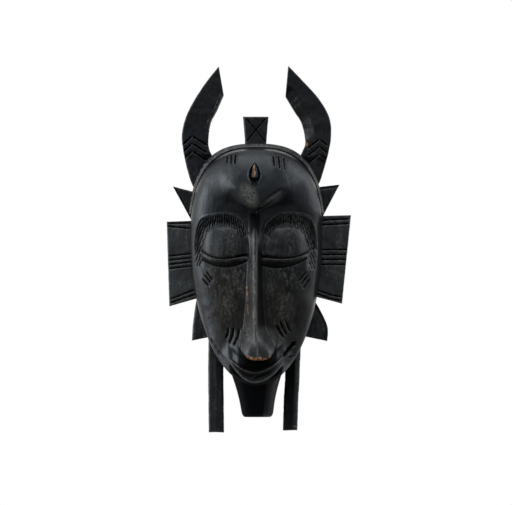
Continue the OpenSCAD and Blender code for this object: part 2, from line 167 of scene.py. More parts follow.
def curve(points, n):
    """n points along a smooth curve through the given ones, evenly spaced by length."""
    p = np.asarray(points, float)
    pad = np.vstack([2 * p[0] - p[1], p, 2 * p[-1] - p[-2]])
    fine = []
    for a, b, c, d in zip(pad[:-3], pad[1:-2], pad[2:-1], pad[3:]):
        t = np.linspace(0, 1, 40, endpoint=False)[:, None]
        fine.append(0.5 * (2 * b + (c - a) * t + (2 * a - 5 * b + 4 * c - d) * t**2
                           + (3 * b - a - 3 * c + d) * t**3))
    fine = np.vstack(fine + [p[-1:]])
    way = np.concatenate([[0], np.cumsum(np.linalg.norm(np.diff(fine, axis=0), axis=1))])
    at = np.linspace(0, way[-1], n)
    return np.stack([np.interp(at, way, fine[:, i]) for i in range(fine.shape[1])], axis=1)


# ---------- The oval ----------

CROWN_POWER = 2.6  # how square the oval is above its widest line
CHIN_POWER = 2.0


def oval_parts(z, top, foot):
    """The oval's power at a height, and that height's share of the way from the widest line to the end."""
    power = np.where(z > WIDEST, CROWN_POWER, CHIN_POWER)
    reach = np.where(z > WIDEST, top - WIDEST, WIDEST - foot)
    return power, np.abs(z - WIDEST) / reach


def half_width(z, half=FACE_HALF, top=CROWN, foot=FOOT):
    power, share = oval_parts(z, top, foot)
    return half * (1 - np.minimum(1, share) ** power) ** (1 / power)


def radius(x, z):
    """0 on the middle of the widest line, 1 on the oval's edge."""
    power, share = oval_parts(z, CROWN, FOOT)
    return np.minimum(1, ((np.abs(x) / FACE_HALF) ** power + share**power) ** (1 / power))


def row_share(i, rows):
    """Share of the height at row i; the rows lie closer together at the crown and the chin."""
    s = 2 * i / rows - 1
    return 0.5 + 0.5 * s * (1.35 - 0.35 * s * s)


def outline(rows, half=FACE_HALF, top=CROWN, foot=FOOT):
    """Closed oval of 2 * rows points, down the right side and up the left."""
    i = np.arange(rows + 1)
    z = top + (foot - top) * row_share(i, rows)
    x = half_width(z, half, top, foot)
    x[0] = x[-1] = 0
    right = np.stack([x, z], axis=1)
    left = np.stack([-x[-2:0:-1], z[-2:0:-1]], axis=1)
    return np.vstack([right, left])


# ---------- Carved relief of the face ----------

BROW_APEX = CROWN - 54.0
EYE_LINE = CROWN - 97.0
LIP = FOOT + 12.5
NOSE_FOOT = LIP + 11.2
NOSE_ROOT = BROW_APEX - 3.0
CORE = 51.0  # depth of the face's middle, before it is carved
BOSS_X = -1.6
BOSS_Z = CROWN - 24.2
BOSS_HALF_W = 5.6
BOSS_HALF_H = 11.2

# Left and right eye: middle, half-widths towards the nose and the ear, slit line and lower lid's edge.
EYES = {
    "left": dict(x=-29.0, inner=22.5, outer=26.2, lid=(-28.3, 20.6),
                 slit=[(-49, -78.0), (-41, -83.0), (-33.8, -84.6), (-20.7, -84.1), (-8, -82.0)],
                 under=[(-47, -86.0), (-43.7, -89.4), (-28.9, -91.6), (-16, -90.3), (-8, -86.6)],
                 band=[(-9.8, -66.5), (-14.6, -57.4), (-21.5, -51.4), (-31, -49.8), (-40.2, -52.2),
                       (-46.6, -59), (-50.2, -69), (-51.4, -80), (-51.6, -93.5)]),
    "right": dict(x=26.5, inner=23.0, outer=27.5, lid=(24.6, 20.8),
                  slit=[(3.1, -83.2), (9.6, -83.6), (19.4, -84.9), (31.4, -84.1), (39.6, -81.6), (46, -79.0)],
                  under=[(3.1, -90.0), (17.7, -92.2), (28.7, -91.7), (40, -87.6), (45.5, -84)],
                  band=[(6.8, -65.0), (11.6, -55.0), (20, -50.0), (31, -49.8), (39.4, -53.0), (45.0, -61.0),
                        (48.2, -72), (49.8, -84), (49.6, -96)]),
}

FOREHEAD_CUTS = [
    [(-26.2, 7.6), (-26.4, -1.4)], [(-22.2, 8.8), (-22.8, -2.0)], [(-18.6, 9.2), (-19.2, -2.4)],
    [(14.6, 7.2), (16.0, -3.6)], [(19.4, 7.8), (20.6, -6.0)], [(24.0, 6.0), (25.2, -7.2)],
]
CHEEK_CUTS = [
    [(-48.5, -102.3), (-41.8, -110.6)], [(-47.0, -98.5), (-40.1, -107.2)], [(-44.7, -96.4), (-38.2, -105.2)],
    [(44.2, -96.6), (36.5, -106.3)], [(46.3, -99.3), (39.1, -108.4)], [(47.4, -102.3), (41.3, -112.0)],
]
MUZZLE_CUTS = [
    [(-25.0, -146.5), (-25.2, -151.5), (-27.6, -157.6)], [(-20.2, -146.0), (-20.8, -152.5), (-24.4, -161.6)],
    [(-15.0, -147.3), (-16.4, -154.5), (-20.6, -163.0)],
    [(16.8, -144.0), (20.0, -149.5), (24.2, -156.2)], [(20.4, -140.4), (23.2, -146.5), (27.2, -154.2)],
    [(25.4, -139.9), (27.6, -144.6), (30.0, -151.0)],
]
JAW_NOTCH = [(33.5, -171.0), (27.5, -173.6)]
JAW_CUTS = [
    [(-41, -156), (-35.5, -164.5), (-29, -174), (-22.5, -183)],
    [(35, -158.5), (30, -164), (22.8, -172.6)],
]


def edge_depth(z):
    return 26 + 19 * smooth(FOOT + 70, FOOT, z)


def dome(r, z):
    core = CORE + 3 * smooth(BROW_APEX - 10, BROW_APEX + 20, z) + 4 * smooth(EYE_LINE - 60, FOOT, z)
    return edge_depth(z) + (core - edge_depth(z)) * (1 - r**3) ** 0.55


def brow(x, z):
    """The forehead ends in a crest shaped like a wide V and steps back below it."""
    d = x - 0.5
    crest = BROW_APEX + np.where(d < 0, 0.84, 0.78) * np.sqrt(d * d + 1.2) - 0.007 * d * d
    up = z - crest
    step = smooth(-3.6 - 0.34 * np.abs(d), 0.8 + 0.30 * np.abs(d), up) * (1 - smooth(12, 44, np.abs(d)))
    crease = bell(x + 1.2, 0.9) * smooth(-56, -51, z) * smooth(BROW_APEX + 2, BROW_APEX - 2, z)
    return 9.5 * step - 1.2 * crease


def boss_parts(x, z):
    """Height in the boss from -1 to 1, and how far out a point is, with 1 on its pointed oval's edge."""
    v = (z - BOSS_Z) / BOSS_HALF_H
    q = np.where(np.abs(v) < 1, np.abs(x - BOSS_X) / (BOSS_HALF_W * np.maximum(1 - v * v, 0.02)), 9.0)
    return v, q


def boss(x, z):
    """A pointed oval on the forehead: a raised rim, a groove, and a long bead with a hole at its foot."""
    v, q = boss_parts(x, z)
    bead = np.sqrt(unit(1 - (q / 0.5) ** 2)) * smooth(-0.75, -0.3, v)
    hole = smooth(0.75, 0.3, q) * smooth(-0.15, -0.5, v)
    return 0.9 * bell(q - 0.98, 0.13) - 1.9 * bell(q - 0.72, 0.17) + 1.5 * bead - 3.2 * hole


def eye_parts(eye, x, z):
    """Distances that both the relief and the wear use: up from the slit, socket share and lid share."""
    sx, sz = np.array(eye["slit"]).T
    up = z - np.polyval(np.polyfit(sx, sz, 3), np.clip(x, sx.min() - 2, sx.max() + 2))
    d = x - eye["x"]
    towards_nose = d * eye["x"] < 0
    a = np.where(towards_nose, eye["inner"], eye["outer"])
    low = np.where(towards_nose, 12.0, 21.0)
    socket = ((np.abs(d) / a) ** 2.3 + (np.abs(up) / np.where(up > 0, 39.0, low)) ** 2.3) ** (1 / 2.3)
    lid_d = np.abs(x - eye["lid"][0]) / eye["lid"][1]
    lid = (lid_d**2.5 + (np.maximum(up, 0) / 28.6) ** 2.5) ** (1 / 2.5)
    return up, socket, lid


def below_lid(eye, x, z):
    """How far below the lower lid's edge, and how much of the lid is there across."""
    ux, uz = np.array(eye["under"]).T
    room = unit(1 - (np.abs(x - eye["lid"][0]) / (eye["lid"][1] + 0.6)) ** 2.4)
    return np.polyval(np.polyfit(ux, uz, 2), x) - z, room


def eye_relief(eye, x, z):
    up, socket, lid = eye_parts(eye, x, z)
    below, room = below_lid(eye, x, z)
    recess = 0.9 * smooth(1.01, 0.985, socket) + 3.2 * smooth(1.0, 0.80, socket)
    lift = smooth(0.5, -5.0, below)
    outside = smooth(17.5, 21.5, (x - eye["x"]) * np.sign(eye["x"]))
    recess = recess * np.where(up < 0, np.maximum(lift, 0.6 * outside), 1.0)
    rim = 0.45 * bell(socket - 1.02, 0.016) * (up > -8)
    bulge = 6.8 * unit(1 - lid**2.4) ** 0.6
    flutes = 0.30 * np.cos((x - eye["lid"][0] + 2) / 2.3) * smooth(1, 0.6, lid)
    upper = np.where(up >= 0, bulge + flutes, 0)
    # The lower lid slopes back from a narrow edge under the slit to a groove against the cheek.
    slope = unit(-below / np.maximum(-below - up, 0.5)) ** 0.85
    roll = np.where(up < 0, (recess + 2.9 * slope) * room**0.55 * smooth(1.2, -0.6, below), 0)
    under = 0.5 * bell(below - 0.3, 1.3) * smooth(0.0, 0.25, room) * (up < 0)
    slit = 2.6 * bell(up, 0.8) * smooth(0.0, 0.12, room)
    return rim - recess + upper + roll - under - slit


def hatching(eye, x, z):
    """Short, nearly parallel strokes across the band that arches over the eye."""
    away, way, length = along(eye["band"], x, z)
    out = np.clip((np.abs(x) - abs(eye["x"])) / 19, -1, 1)
    lean = -np.sign(eye["x"]) * 0.36 * out * np.abs(out) ** 0.5
    wobble = 0.25 * np.sin(way * 0.9) + 0.15 * np.sin(way * 2.3 + 1.0)
    phase = (x - lean * (z + 62) + wobble) / 2.35
    stroke = unit(1 - np.abs(phase - np.round(phase)) / 0.33)
    half = 5.0 - 1.5 * smooth(0.5, 0.75, way / length)
    inside = smooth(half, half - 0.8, away) * smooth(0, 2, way) * smooth(0, 2, length - way)
    return stroke * inside, inside


def nose_numbers(x, z):
    """Share of the way down the nose, distance right of its ridge, its half-width, and its foot's height."""
    share = unit((NOSE_ROOT - z) / (NOSE_ROOT - NOSE_FOOT))
    d = x - (-1.5 + 3.3 * smooth(0.78, 1.0, share))
    width = np.interp(share, [0, 0.4, 0.62, 0.78, 0.88, 0.94, 1], [4.6, 6.0, 7.0, 9.0, 12.4, 15.0, 15.4])
    cut_z = NOSE_FOOT + 0.012 * d * d + 1.35e-4 * d**4
    return share, d, width, cut_z


def wing_lines(x, z):
    """Distance from the raised rims round the foot of the nose."""
    left = away_from([(-13.2, -161), (-13.6, -166), (-11.6, -170.4), (-7.4, -173.6)], x, z)
    right = away_from([(16.6, -160), (16.9, -165.4), (15.2, -169.8), (10.6, -173.4)], x, z)
    return np.minimum(left, right)


def with_nose(face, x, z):
    share, d, width, cut_z = nose_numbers(x, z)
    ridge = CORE + 1.5 + 25.2 * share
    q = (np.sqrt(d * d + 2.2) - 1.48) / width
    roof = unit(1 - q) ** 1.12
    ball = unit(1 - unit(q) ** 2.3) ** 0.62
    tip = smooth(0.80, 0.95, share)
    profile = roof * (1 - tip) + (ball + 0.05 * bell(d, 3.0)) * tip
    cover = profile * smooth(-1.9, 0.6, z - cut_z) * (1 - smooth(-16, 2, z - NOSE_ROOT))
    base = bell(np.abs(d) - width, 1.0) * smooth(-84, -96, z) * smooth(-164, -150, z)
    crease = base * np.where(d > 0, 1.5, 0.6)
    wing_cut = cut([(10.4, -152.5), (12.8, -157), (12.0, -163)], x, z, 1.1, 1.1)
    wing_cut += cut([(-9.4, -154), (-11.0, -158.5), (-10.4, -164)], x, z, 1.1, 0.6)
    wing_rim = 0.8 * bell(wing_lines(x, z), 0.75)
    return face + cover * np.maximum(0, ridge - face) - wing_cut - crease + wing_rim


def lip_lines(x):
    """Heights of the upper and the lower lip."""
    d = x + 1.2
    upper = LIP - 0.4 + 0.0235 * d * d
    lower = LIP - 8.6 + np.where(d < 0, 0.032, 0.024) * d * d + 0.09 * np.abs(d)
    return upper, lower


def mouth(x, z):
    reach = np.hypot(x / 37, np.maximum(0, z - LIP) / 43)
    muzzle = 16 * (1 - smooth(0.3, 1.0, reach))
    upper, lower = lip_lines(x)
    side = 1 - smooth(20, 25.0, np.abs(x + 0.5))
    ridges = 2.6 * bell(z - upper, 0.95) + 2.2 * bell(z - lower, 0.95)
    gap = bell(z - (upper + lower) / 2, 1.8)
    dip = 4.2 * smooth(0.2, 2.8, z - upper) * (1 - smooth(8.0, 14, z - upper))
    knob = 1.3 * bell(np.hypot(x + 1.6, z - (upper + lower) / 2), 1.9)
    fold = 0.7 * bell(z - (upper * 0.72 + lower * 0.28), 0.6) * smooth(1.5, 4, np.abs(x + 1.6))
    under = 9.0 * smooth(-0.6, -3.0, z - lower) * smooth(25, 12, np.abs(x + 0.5))
    return muzzle - under + side * (ridges - gap - dip + knob + fold)


def relief(x, z, r):
    """Depth of the carved front, where r is the radius in the oval."""
    carved = brow(x, z) + boss(x, z) + mouth(x, z)
    for eye in EYES.values():
        carved = carved + eye_relief(eye, x, z) - hatching(eye, x, z)[0]
    face = with_nose(dome(r, z) + (1 - smooth(0.975, 1, r)) * carved, x, z)
    marks = cuts(FOREHEAD_CUTS, x, z, 1.2, 1.9) + cuts(CHEEK_CUTS, x, z, 1.05, 1.7)
    marks += cuts(MUZZLE_CUTS, x, z, 1.3, 1.8) + cut(JAW_CUTS[0], x, z, 1.5, 1.5)
    marks += cut(JAW_CUTS[1], x, z, 2.2, 3.8)
    marks += cut(JAW_NOTCH, x, z, 1.4, 2.0)
    carving = 0.32 * speckle(x, z, 13, 3) + 0.16 * speckle(x, z, 5.5, 4)
    carving += 0.05 * speckle(x, z, (1.6, 1.6, 6), 5)
    return face - marks + carving * smooth(1, 0.93, r)


# ---------- Meshes ----------

def quads(rows, cols, wrap=False):
    """Faces of a grid of rows x cols points; wrap closes each row onto itself."""
    i, j = np.meshgrid(np.arange(rows - 1), np.arange(cols if wrap else cols - 1), indexing="ij")
    k = (j + 1) % cols
    row, below = i * cols, (i + 1) * cols
    return np.stack([row + j, row + k, below + k, below + j], axis=-1).reshape(-1, 4)


def make_mesh(name, points_mm, faces, marks=None):
    """A mesh object from millimetre points and a list of face arrays, with a value per point for each mark."""
    faces = [np.asarray(f, int) for f in faces if len(f)]
    mesh = bpy.data.meshes.new(name)
    mesh.vertices.add(len(points_mm))
    mesh.vertices.foreach_set("co", (points_mm * 0.001).ravel())
    sizes = np.concatenate([np.full(len(f), f.shape[1]) for f in faces])
    mesh.loops.add(int(sizes.sum()))
    mesh.loops.foreach_set("vertex_index", np.concatenate([f.ravel() for f in faces]))
    mesh.polygons.add(len(sizes))
    mesh.polygons.foreach_set("loop_start", np.concatenate([[0], np.cumsum(sizes)[:-1]]))
    mesh.update(calc_edges=True)
    mesh.validate()
    mesh.shade_smooth()
    for mark, values in (marks or {}).items():
        put_mark(mesh, mark, values)
    obj = bpy.data.objects.new(name, mesh)
    bpy.context.scene.collection.objects.link(obj)
    add_curvature(mesh)
    return obj


def put_mark(mesh, name, values):
    attribute = mesh.attributes.new(name, "FLOAT", "POINT")
    attribute.data.foreach_set("value", np.asarray(values, np.float32))


def add_curvature(mesh, rounds=3):
    """Marks "ridge" on outward bends and "hollow" on inward ones, as millimetres of height."""
    n = len(mesh.vertices)
    co = np.empty(n * 3)
    normal = np.empty(n * 3)
    pairs = np.empty(len(mesh.edges) * 2, int)
    mesh.vertices.foreach_get("co", co)
    mesh.vertices.foreach_get("normal", normal)
    mesh.edges.foreach_get("vertices", pairs)
    co, normal, pairs = co.reshape(-1, 3) * 1000, normal.reshape(-1, 3), pairs.reshape(-1, 2)
    a, b = np.concatenate([pairs, pairs[:, ::-1]]).T
    count = np.maximum(np.bincount(a, minlength=n), 1)

    def spread(values):
        return np.bincount(a, weights=values[b], minlength=n) / count

    middle = np.stack([spread(co[:, k]) for k in range(3)], axis=1)
    length = np.bincount(a, weights=np.linalg.norm(co[a] - co[b], axis=1), minlength=n) / count
    bend = np.einsum("ij,ij->i", co - middle, normal) / np.maximum(length, 0.05)
    for _ in range(rounds):
        bend = 0.5 * bend + 0.5 * spread(bend)
    put_mark(mesh, "ridge", unit(bend))
    put_mark(mesh, "hollow", unit(-bend))


def eye_marks(x, z, speck, cloud):
    """Dust; painted shade in the hatching strokes, along the slits and on the lower lids; where the lower lids
    lie; and painted highlight lines under the slits, for both eyes.
    """
    dust_and_highlight = groove = rolls = painted_lid_highlight = 0.0 * x
    for name, eye in EYES.items():
        stroke, inside = hatching(eye, x, z)
        up, socket, lid = eye_parts(eye, x, z)
        below, room = below_lid(eye, x, z)
        amount = 0.85 * smooth(8, 26, np.abs(x)) if name == "right" else 0.30
        on_roll = (up < -0.4) * smooth(0.6, -0.6, below) * smooth(0.0, 0.1, room)
        dust_and_highlight = strongest(
            dust_and_highlight,
            inside * amount * smooth(-0.5, 0.5, speck + 0.4 * cloud) * (1 - 0.85 * stroke),
            0.45 * bell(socket - 1.02, 0.016) * (up > -8) * smooth(-0.7, 0.4, speck),
        )
        # Painted shade: in the hatching strokes, along the slit, under the lower lid's edge, and on the lower
        # lid, darker towards its foot.
        groove = strongest(
            groove,
            0.8 * stroke,
            0.8 * bell(up, 0.8) * (lid < 1.0),
            0.85 * bell(below - 0.2, 0.9) * (up < 0) * smooth(0.0, 0.1, room),
            on_roll * (0.22 + 0.33 * smooth(-2.4, -4.4, up)),
        )
        rolls = np.maximum(rolls, on_roll)
        # Painted highlight: a thin light line along the top of each lower lid, just under the slit.
        painted_lid_highlight = np.maximum(painted_lid_highlight, bell(up + 2.3, 0.7) * smooth(0.1, 0.4, room) * (up < 0))
    return dust_and_highlight, groove, rolls, painted_lid_highlight


def face_wear(x, z, speck, cloud):
    """Bare wood on the tip of the nose, on its left side and its ridge, and on the boss's bead."""
    _, d, _, cut_z = nose_numbers(x, z)
    above = z - cut_z
    tip = smooth(-2.6, -0.4, above) * smooth(4.2 - 0.16 * np.abs(d), 0.8, above) * smooth(14.0, 8.0, np.abs(d))
    streak = away_from([(-8.4, -110), (-8.0, -121), (-7.6, -134)], x, z)
    bead = away_from([(-2.0, -2.5), (-1.6, -12.0)], x, z)
    ridge = away_from([(0.8, -72), (1.2, -100), (2.0, -146)], x, z)
    return strongest(
        tip * smooth(-0.9, 0.5, speck + 0.5 * cloud),
        0.62 * smooth(1.3, 0.2, streak) * smooth(-0.8, 0.4, speck + 0.5 * cloud),
        smooth(1.2, 0.4, bead) * smooth(-1.0, 0.1, speck),
        0.20 * smooth(1.5, 0.2, ridge) * smooth(-0.4, 0.6, cloud + 0.6 * speck),
    )


BROW_LINE = [(4.5, -38.5), (11, -33.2), (21, -26.2)]  # a painted highlight line along the right arm of the brow


def face_dust_and_highlights(x, z, speck, cloud):
    """Pale dust on the forehead, beside the nose, in some cuts and on the boss; painted highlights on the lip
    ridges, which are also scuffed, on the brow line and on a spot at the left of the brow.
    """
    patch = np.hypot((x + 6.5 + 0.3 * (z + 30)) / 9.5, (z + 29) / 12.5)
    left_wing = np.hypot((x + 8.5) / 4.5, (z + 153) / 16)
    chips = cuts(FOREHEAD_CUTS[3:], x, z, 2.4, 1.0) * smooth(2.0, -4.0, z)
    chips += cuts(MUZZLE_CUTS[:3], x - 1.2, z, 1.2, 0.7)
    upper, lower = lip_lines(x)
    lips = np.maximum(bell(z - upper - 0.3, 0.7), bell(z - lower - 0.2, 0.7)) * smooth(25, 20, np.abs(x))
    brow_away, brow_way, _ = along(BROW_LINE, x, z)
    spot = away_from([(-27.5, -16.0), (-25.5, -21.0)], x, z)
    return strongest(
        smooth(1.1, 0.35, patch) * smooth(-1.7, 0.2, speck + 0.5 * cloud),
        0.55 * smooth(1.0, 0.3, left_wing) * smooth(0.0, 0.8, speck),
        0.8 * unit(chips) * smooth(0.0, 0.6, speck),
        0.6 * bell(boss_parts(x, z)[1] - 1.0, 0.16) * smooth(-0.5, 0.5, speck),
        # Lip ridges: scuffed, and a painted highlight along their edges.
        0.8 * lips * smooth(-1.1, 0.3, speck),
        # Painted highlight along the brow line.
        0.9 * bell(brow_away, 0.85) * smooth(0, 6, brow_way) * smooth(-1.3, 0.3, speck),
        # Painted highlight: a bright spot at the left of the brow.
        0.55 * bell(spot, 1.2) * smooth(-1.3, 0.3, speck),
    )


# Rubbed stripes of the upper lids: middle, half-width and amount.
LID_RUBS = [(-22.5, 10, 0.75), (11.5, 6.5, 0.9), (31.5, 5.5, 0.75), (-35, 8, 0.35)]
# Rubbed ovals of the face: middle, half-sizes and amount.
FACE_RUBS = [
    (-18, -103, 14, 18, 1.25), (28, -101, 10, 12, 1.3), (-26, -120, 15, 20, 0.85), (22, -126, 11, 26, 0.95),
    (-8, -148, 5, 20, 0.7), (-6, -30, 10, 14, 0.4), (-30, -72, 16, 12, 0.45), (13, -108, 6, 16, 0.9),
    (-42, -100, 9, 20, 0.5),
]


def face_scuff_and_highlights(x, z, painted_lid_highlight):
    """Where the stain is rubbed grey, and where highlights are painted on the nose's ridge, along the lower
    lids and on the brow line, before it is broken up by noise.
    """
    d = nose_numbers(x, z)[1]
    scuff_and_highlight = strongest(
        # The nose's ridge: rubbed stain and a painted highlight line.
        1.9 * bell(d + 0.4, 1.8) * smooth(-56, -66, z) * smooth(-178, -168, z),
        # Painted highlight along the top of the lower lids.
        painted_lid_highlight,
        1.1 * bell(wing_lines(x, z), 0.6),
        # Painted highlight along the brow line.
        1.3 * bell(away_from(BROW_LINE, x, z), 0.8),
    )
    for lid_x, wide, amount in LID_RUBS:
        scuff_and_highlight = np.maximum(scuff_and_highlight, amount * bell(x - lid_x, wide) * smooth(-86, -82, z) * smooth(-52, -60, z))
    for cx, cz, ax, az, amount in FACE_RUBS:
        scuff_and_highlight = np.maximum(scuff_and_highlight, amount * bell(np.hypot((x - cx) / ax, (z - cz) / az), 1.0))
    return scuff_and_highlight


def face_painted_shade(x, z):
    """Painted shade: on the nose's right flank, at its root and under it, in the cuts, in the boss's groove,
    above, between and under the lips, and in a hollow by the right jaw.
    """
    _, d, width, cut_z = nose_numbers(x, z)
    upper, lower = lip_lines(x)
    above = z - cut_z
    over_lip = z - upper
    flank = smooth(1.0, 3.4, d) * smooth(width + 2.5, width - 0.5, d)
    root = smooth(8.0, 3.0, np.abs(d)) * smooth(-41, -46, z) * smooth(-78, -58, z)
    under_nose = smooth(0.6, -1.5, above) * smooth(-11, -4, over_lip) * smooth(-1.5, 1.5, over_lip)
    moustache = smooth(0.8, 2.6, over_lip) * smooth(13, 7, over_lip) * smooth(21, 9, np.abs(x - 1))
    chin = smooth(-1.0, -2.2, z - lower) * smooth(27, 20, np.abs(x + 0.5))
    lips_gap = smooth(-1.6, -2.6, over_lip) * smooth(1.6, 2.6, z - lower) * smooth(24, 18, np.abs(x + 0.5))
    return strongest(
        # Painted shade on the nose's right flank, the side away from the light.
        0.66 * flank * smooth(-58, -84, z) * smooth(-158, -140, z),
        0.62 * root * (1 - 0.8 * bell(d, 1.5) * smooth(-56, -62, z)),
        unit(cuts(FOREHEAD_CUTS + CHEEK_CUTS, x, z, 1.15, 1.1)),
        unit(cuts(MUZZLE_CUTS + [JAW_NOTCH], x, z, 1.25, 1.0)),
        unit(cut(JAW_CUTS[1], x, z, 1.7, 1.2)),
        0.7 * bell(boss_parts(x, z)[1] - 0.72, 0.2),
        0.75 * (under_nose * smooth(22, 14, np.abs(x - 1))),
        0.55 * (moustache * (above < 0)),
        chin,
        0.45 * lips_gap,
        0.5 * bell(np.hypot((x - 27.5) / 8.5, (z + 175) / 7.5), 1.0),
    )


def face_marks(x, z):
    """Where the stain is worn to bare wood, where pale dust has stayed, what is rubbed, and where highlights
    and shade are painted.
    """
    speck = speckle(x, z, 1.3, 21)
    cloud = speckle(x, z, 4.5, 22)
    rub = speckle(x, z, (1.6, 1.6, 5), 23)
    eye_dust, eye_painted_shade, rolls, painted_lid_highlight = eye_marks(x, z, speck, cloud)
    brown = bell(np.hypot((x + 26) / 24, (z + 126) / 38), 1.0)
    brown += bell(np.hypot((x - 24) / 22, (z + 134) / 38), 1.0)
    marks = {
        "wear": face_wear(x, z, speck, cloud),
        "dust_and_highlight": np.maximum(eye_dust, face_dust_and_highlights(x, z, speck, cloud)),
        "scuff_and_highlight": face_scuff_and_highlights(x, z, painted_lid_highlight) * smooth(-0.9, 0.7, rub),
        "tint": unit(np.maximum(brown, 0.55 * rolls)),
        # Painted shade round the eyes, on the nose, in the cuts and round the mouth.
        "groove": np.maximum(eye_painted_shade, face_painted_shade(x, z)),
    }
    return {name: values.ravel() for name, values in marks.items()}


LEAST_WOOD = 9  # between the carved front and the hollow


def carved_face():
    """Front, side wall and hollow of the face in one closed mesh."""
    rows, cols, wall_steps, rings = 380, 212, 4, 14
    loop = outline(rows)
    n = len(loop)
    u = np.linspace(-1, 1, cols + 1)
    u = u * (0.72 + 0.28 * np.abs(u))
    i = np.arange(1, rows)
    z = (CROWN + (FOOT - CROWN) * row_share(i, rows))[:, None] + 0 * u[None, :]
    wide = u[None, :] * half_width(z)
    # On the right the face is a little narrower than its wall, which shows beside it.
    pinch = 0.055 * smooth(WIDEST + 26, WIDEST + 10, z) * smooth(WIDEST - 66, WIDEST - 42, z)
    x = wide * (1 - pinch * (u[None, :] > 0) * smooth(0.0, 0.8, u[None, :]))
    depth = relief(x, z, radius(wide, z))
    front = at_depth(x, z, depth)
    ends = at_depth(np.zeros(2), np.array([CROWN, FOOT]), edge_depth(np.array([CROWN, FOOT])))
    top, bottom = len(front), len(front) + 1
    c = cols + 1
    row_ids = np.arange(rows - 1) * c
    edge_ids = np.concatenate([[top], row_ids + cols, [bottom], row_ids[::-1]])
    edge = np.vstack([front, ends])[edge_ids]

    # The wall runs from the front's edge back to the rim, then inward to the hollow's mouth.
    rim = at_depth(loop[:, 0], loop[:, 1], RIM_T)
    wall = [edge * (1 - t) + rim * t for t in np.arange(1, wall_steps + 1) / wall_steps]
    mouth_top, mouth_foot = CROWN - 22, FOOT + 17
    mouth_loop = outline(rows, FACE_HALF - 12, mouth_top, mouth_foot)
    hub = np.array([0.0, (mouth_top + mouth_foot) / 2])
    bowl = []
    for k in range(rings):
        t = 1 - k / rings
        qx, qz = (hub + t * (mouth_loop - hub)).T
        deep = RIM_T + 24 * (1 - t**2.4) ** 0.7
        limit = relief(qx, qz, radius(qx, qz)) - LEAST_WOOD
        gouge = 0.5 * speckle(qx, qz, (6, 6, 11), 8) * smooth(1, 0.93, t)
        bowl.append(at_depth(qx, qz, np.minimum(deep, np.maximum(limit, RIM_T)) - gouge))
    hub_point = at_depth(hub[0], hub[1], -bowl[-1][:, 1].mean())
    first_ring = len(front) + 2
    points = np.vstack([front, ends] + wall + bowl + [hub_point])

    faces = [quads(rows - 1, c)]
    faces.append([[top, j, j + 1] for j in range(cols)])
    last = (rows - 2) * c
    faces.append([[bottom, last + j + 1, last + j] for j in range(cols)])
    ring_ids = first_ring + np.arange((len(wall) + len(bowl)) * n).reshape(-1, n)
    everything = np.vstack([edge_ids[None, :], ring_ids])
    for one, two in zip(everything[:-1], everything[1:]):
        nxt, nxt2 = np.roll(one, -1), np.roll(two, -1)
        faces.append(np.stack([one, two, nxt2, nxt], axis=1))
    faces.append([[ring_ids[-1][k], len(points) - 1, ring_ids[-1][(k + 1) % n]] for k in range(n)])
    faces = [np.asarray(f)[:, ::-1] for f in faces]

    marks = face_marks(x, z)
    rest = np.zeros(len(points) - len(front))
    marks = {k: np.concatenate([v, rest]) for k, v in marks.items()}
    return make_mesh("carved_face", points, faces, marks)


def loft(name, stations, marks=None):
    """A closed mesh through loops of points, (stations, loop, 3), with both ends filled by fans."""
    s, n, _ = stations.shape
    ends = np.stack([stations[0].mean(0), stations[-1].mean(0)])
    points = np.vstack([stations.reshape(-1, 3), ends])
    k = np.arange(n)
    k2 = (k + 1) % n
    first = np.stack([np.full(n, s * n), k2, k], axis=1)
    last = np.stack([np.full(n, s * n + 1), (s - 1) * n + k, (s - 1) * n + k2], axis=1)
    if marks:
        marks = {m: np.concatenate([np.ravel(v), [0, 0]]) for m, v in marks.items()}
    return make_mesh(name, points, [quads(s, n, wrap=True), first, last], marks)


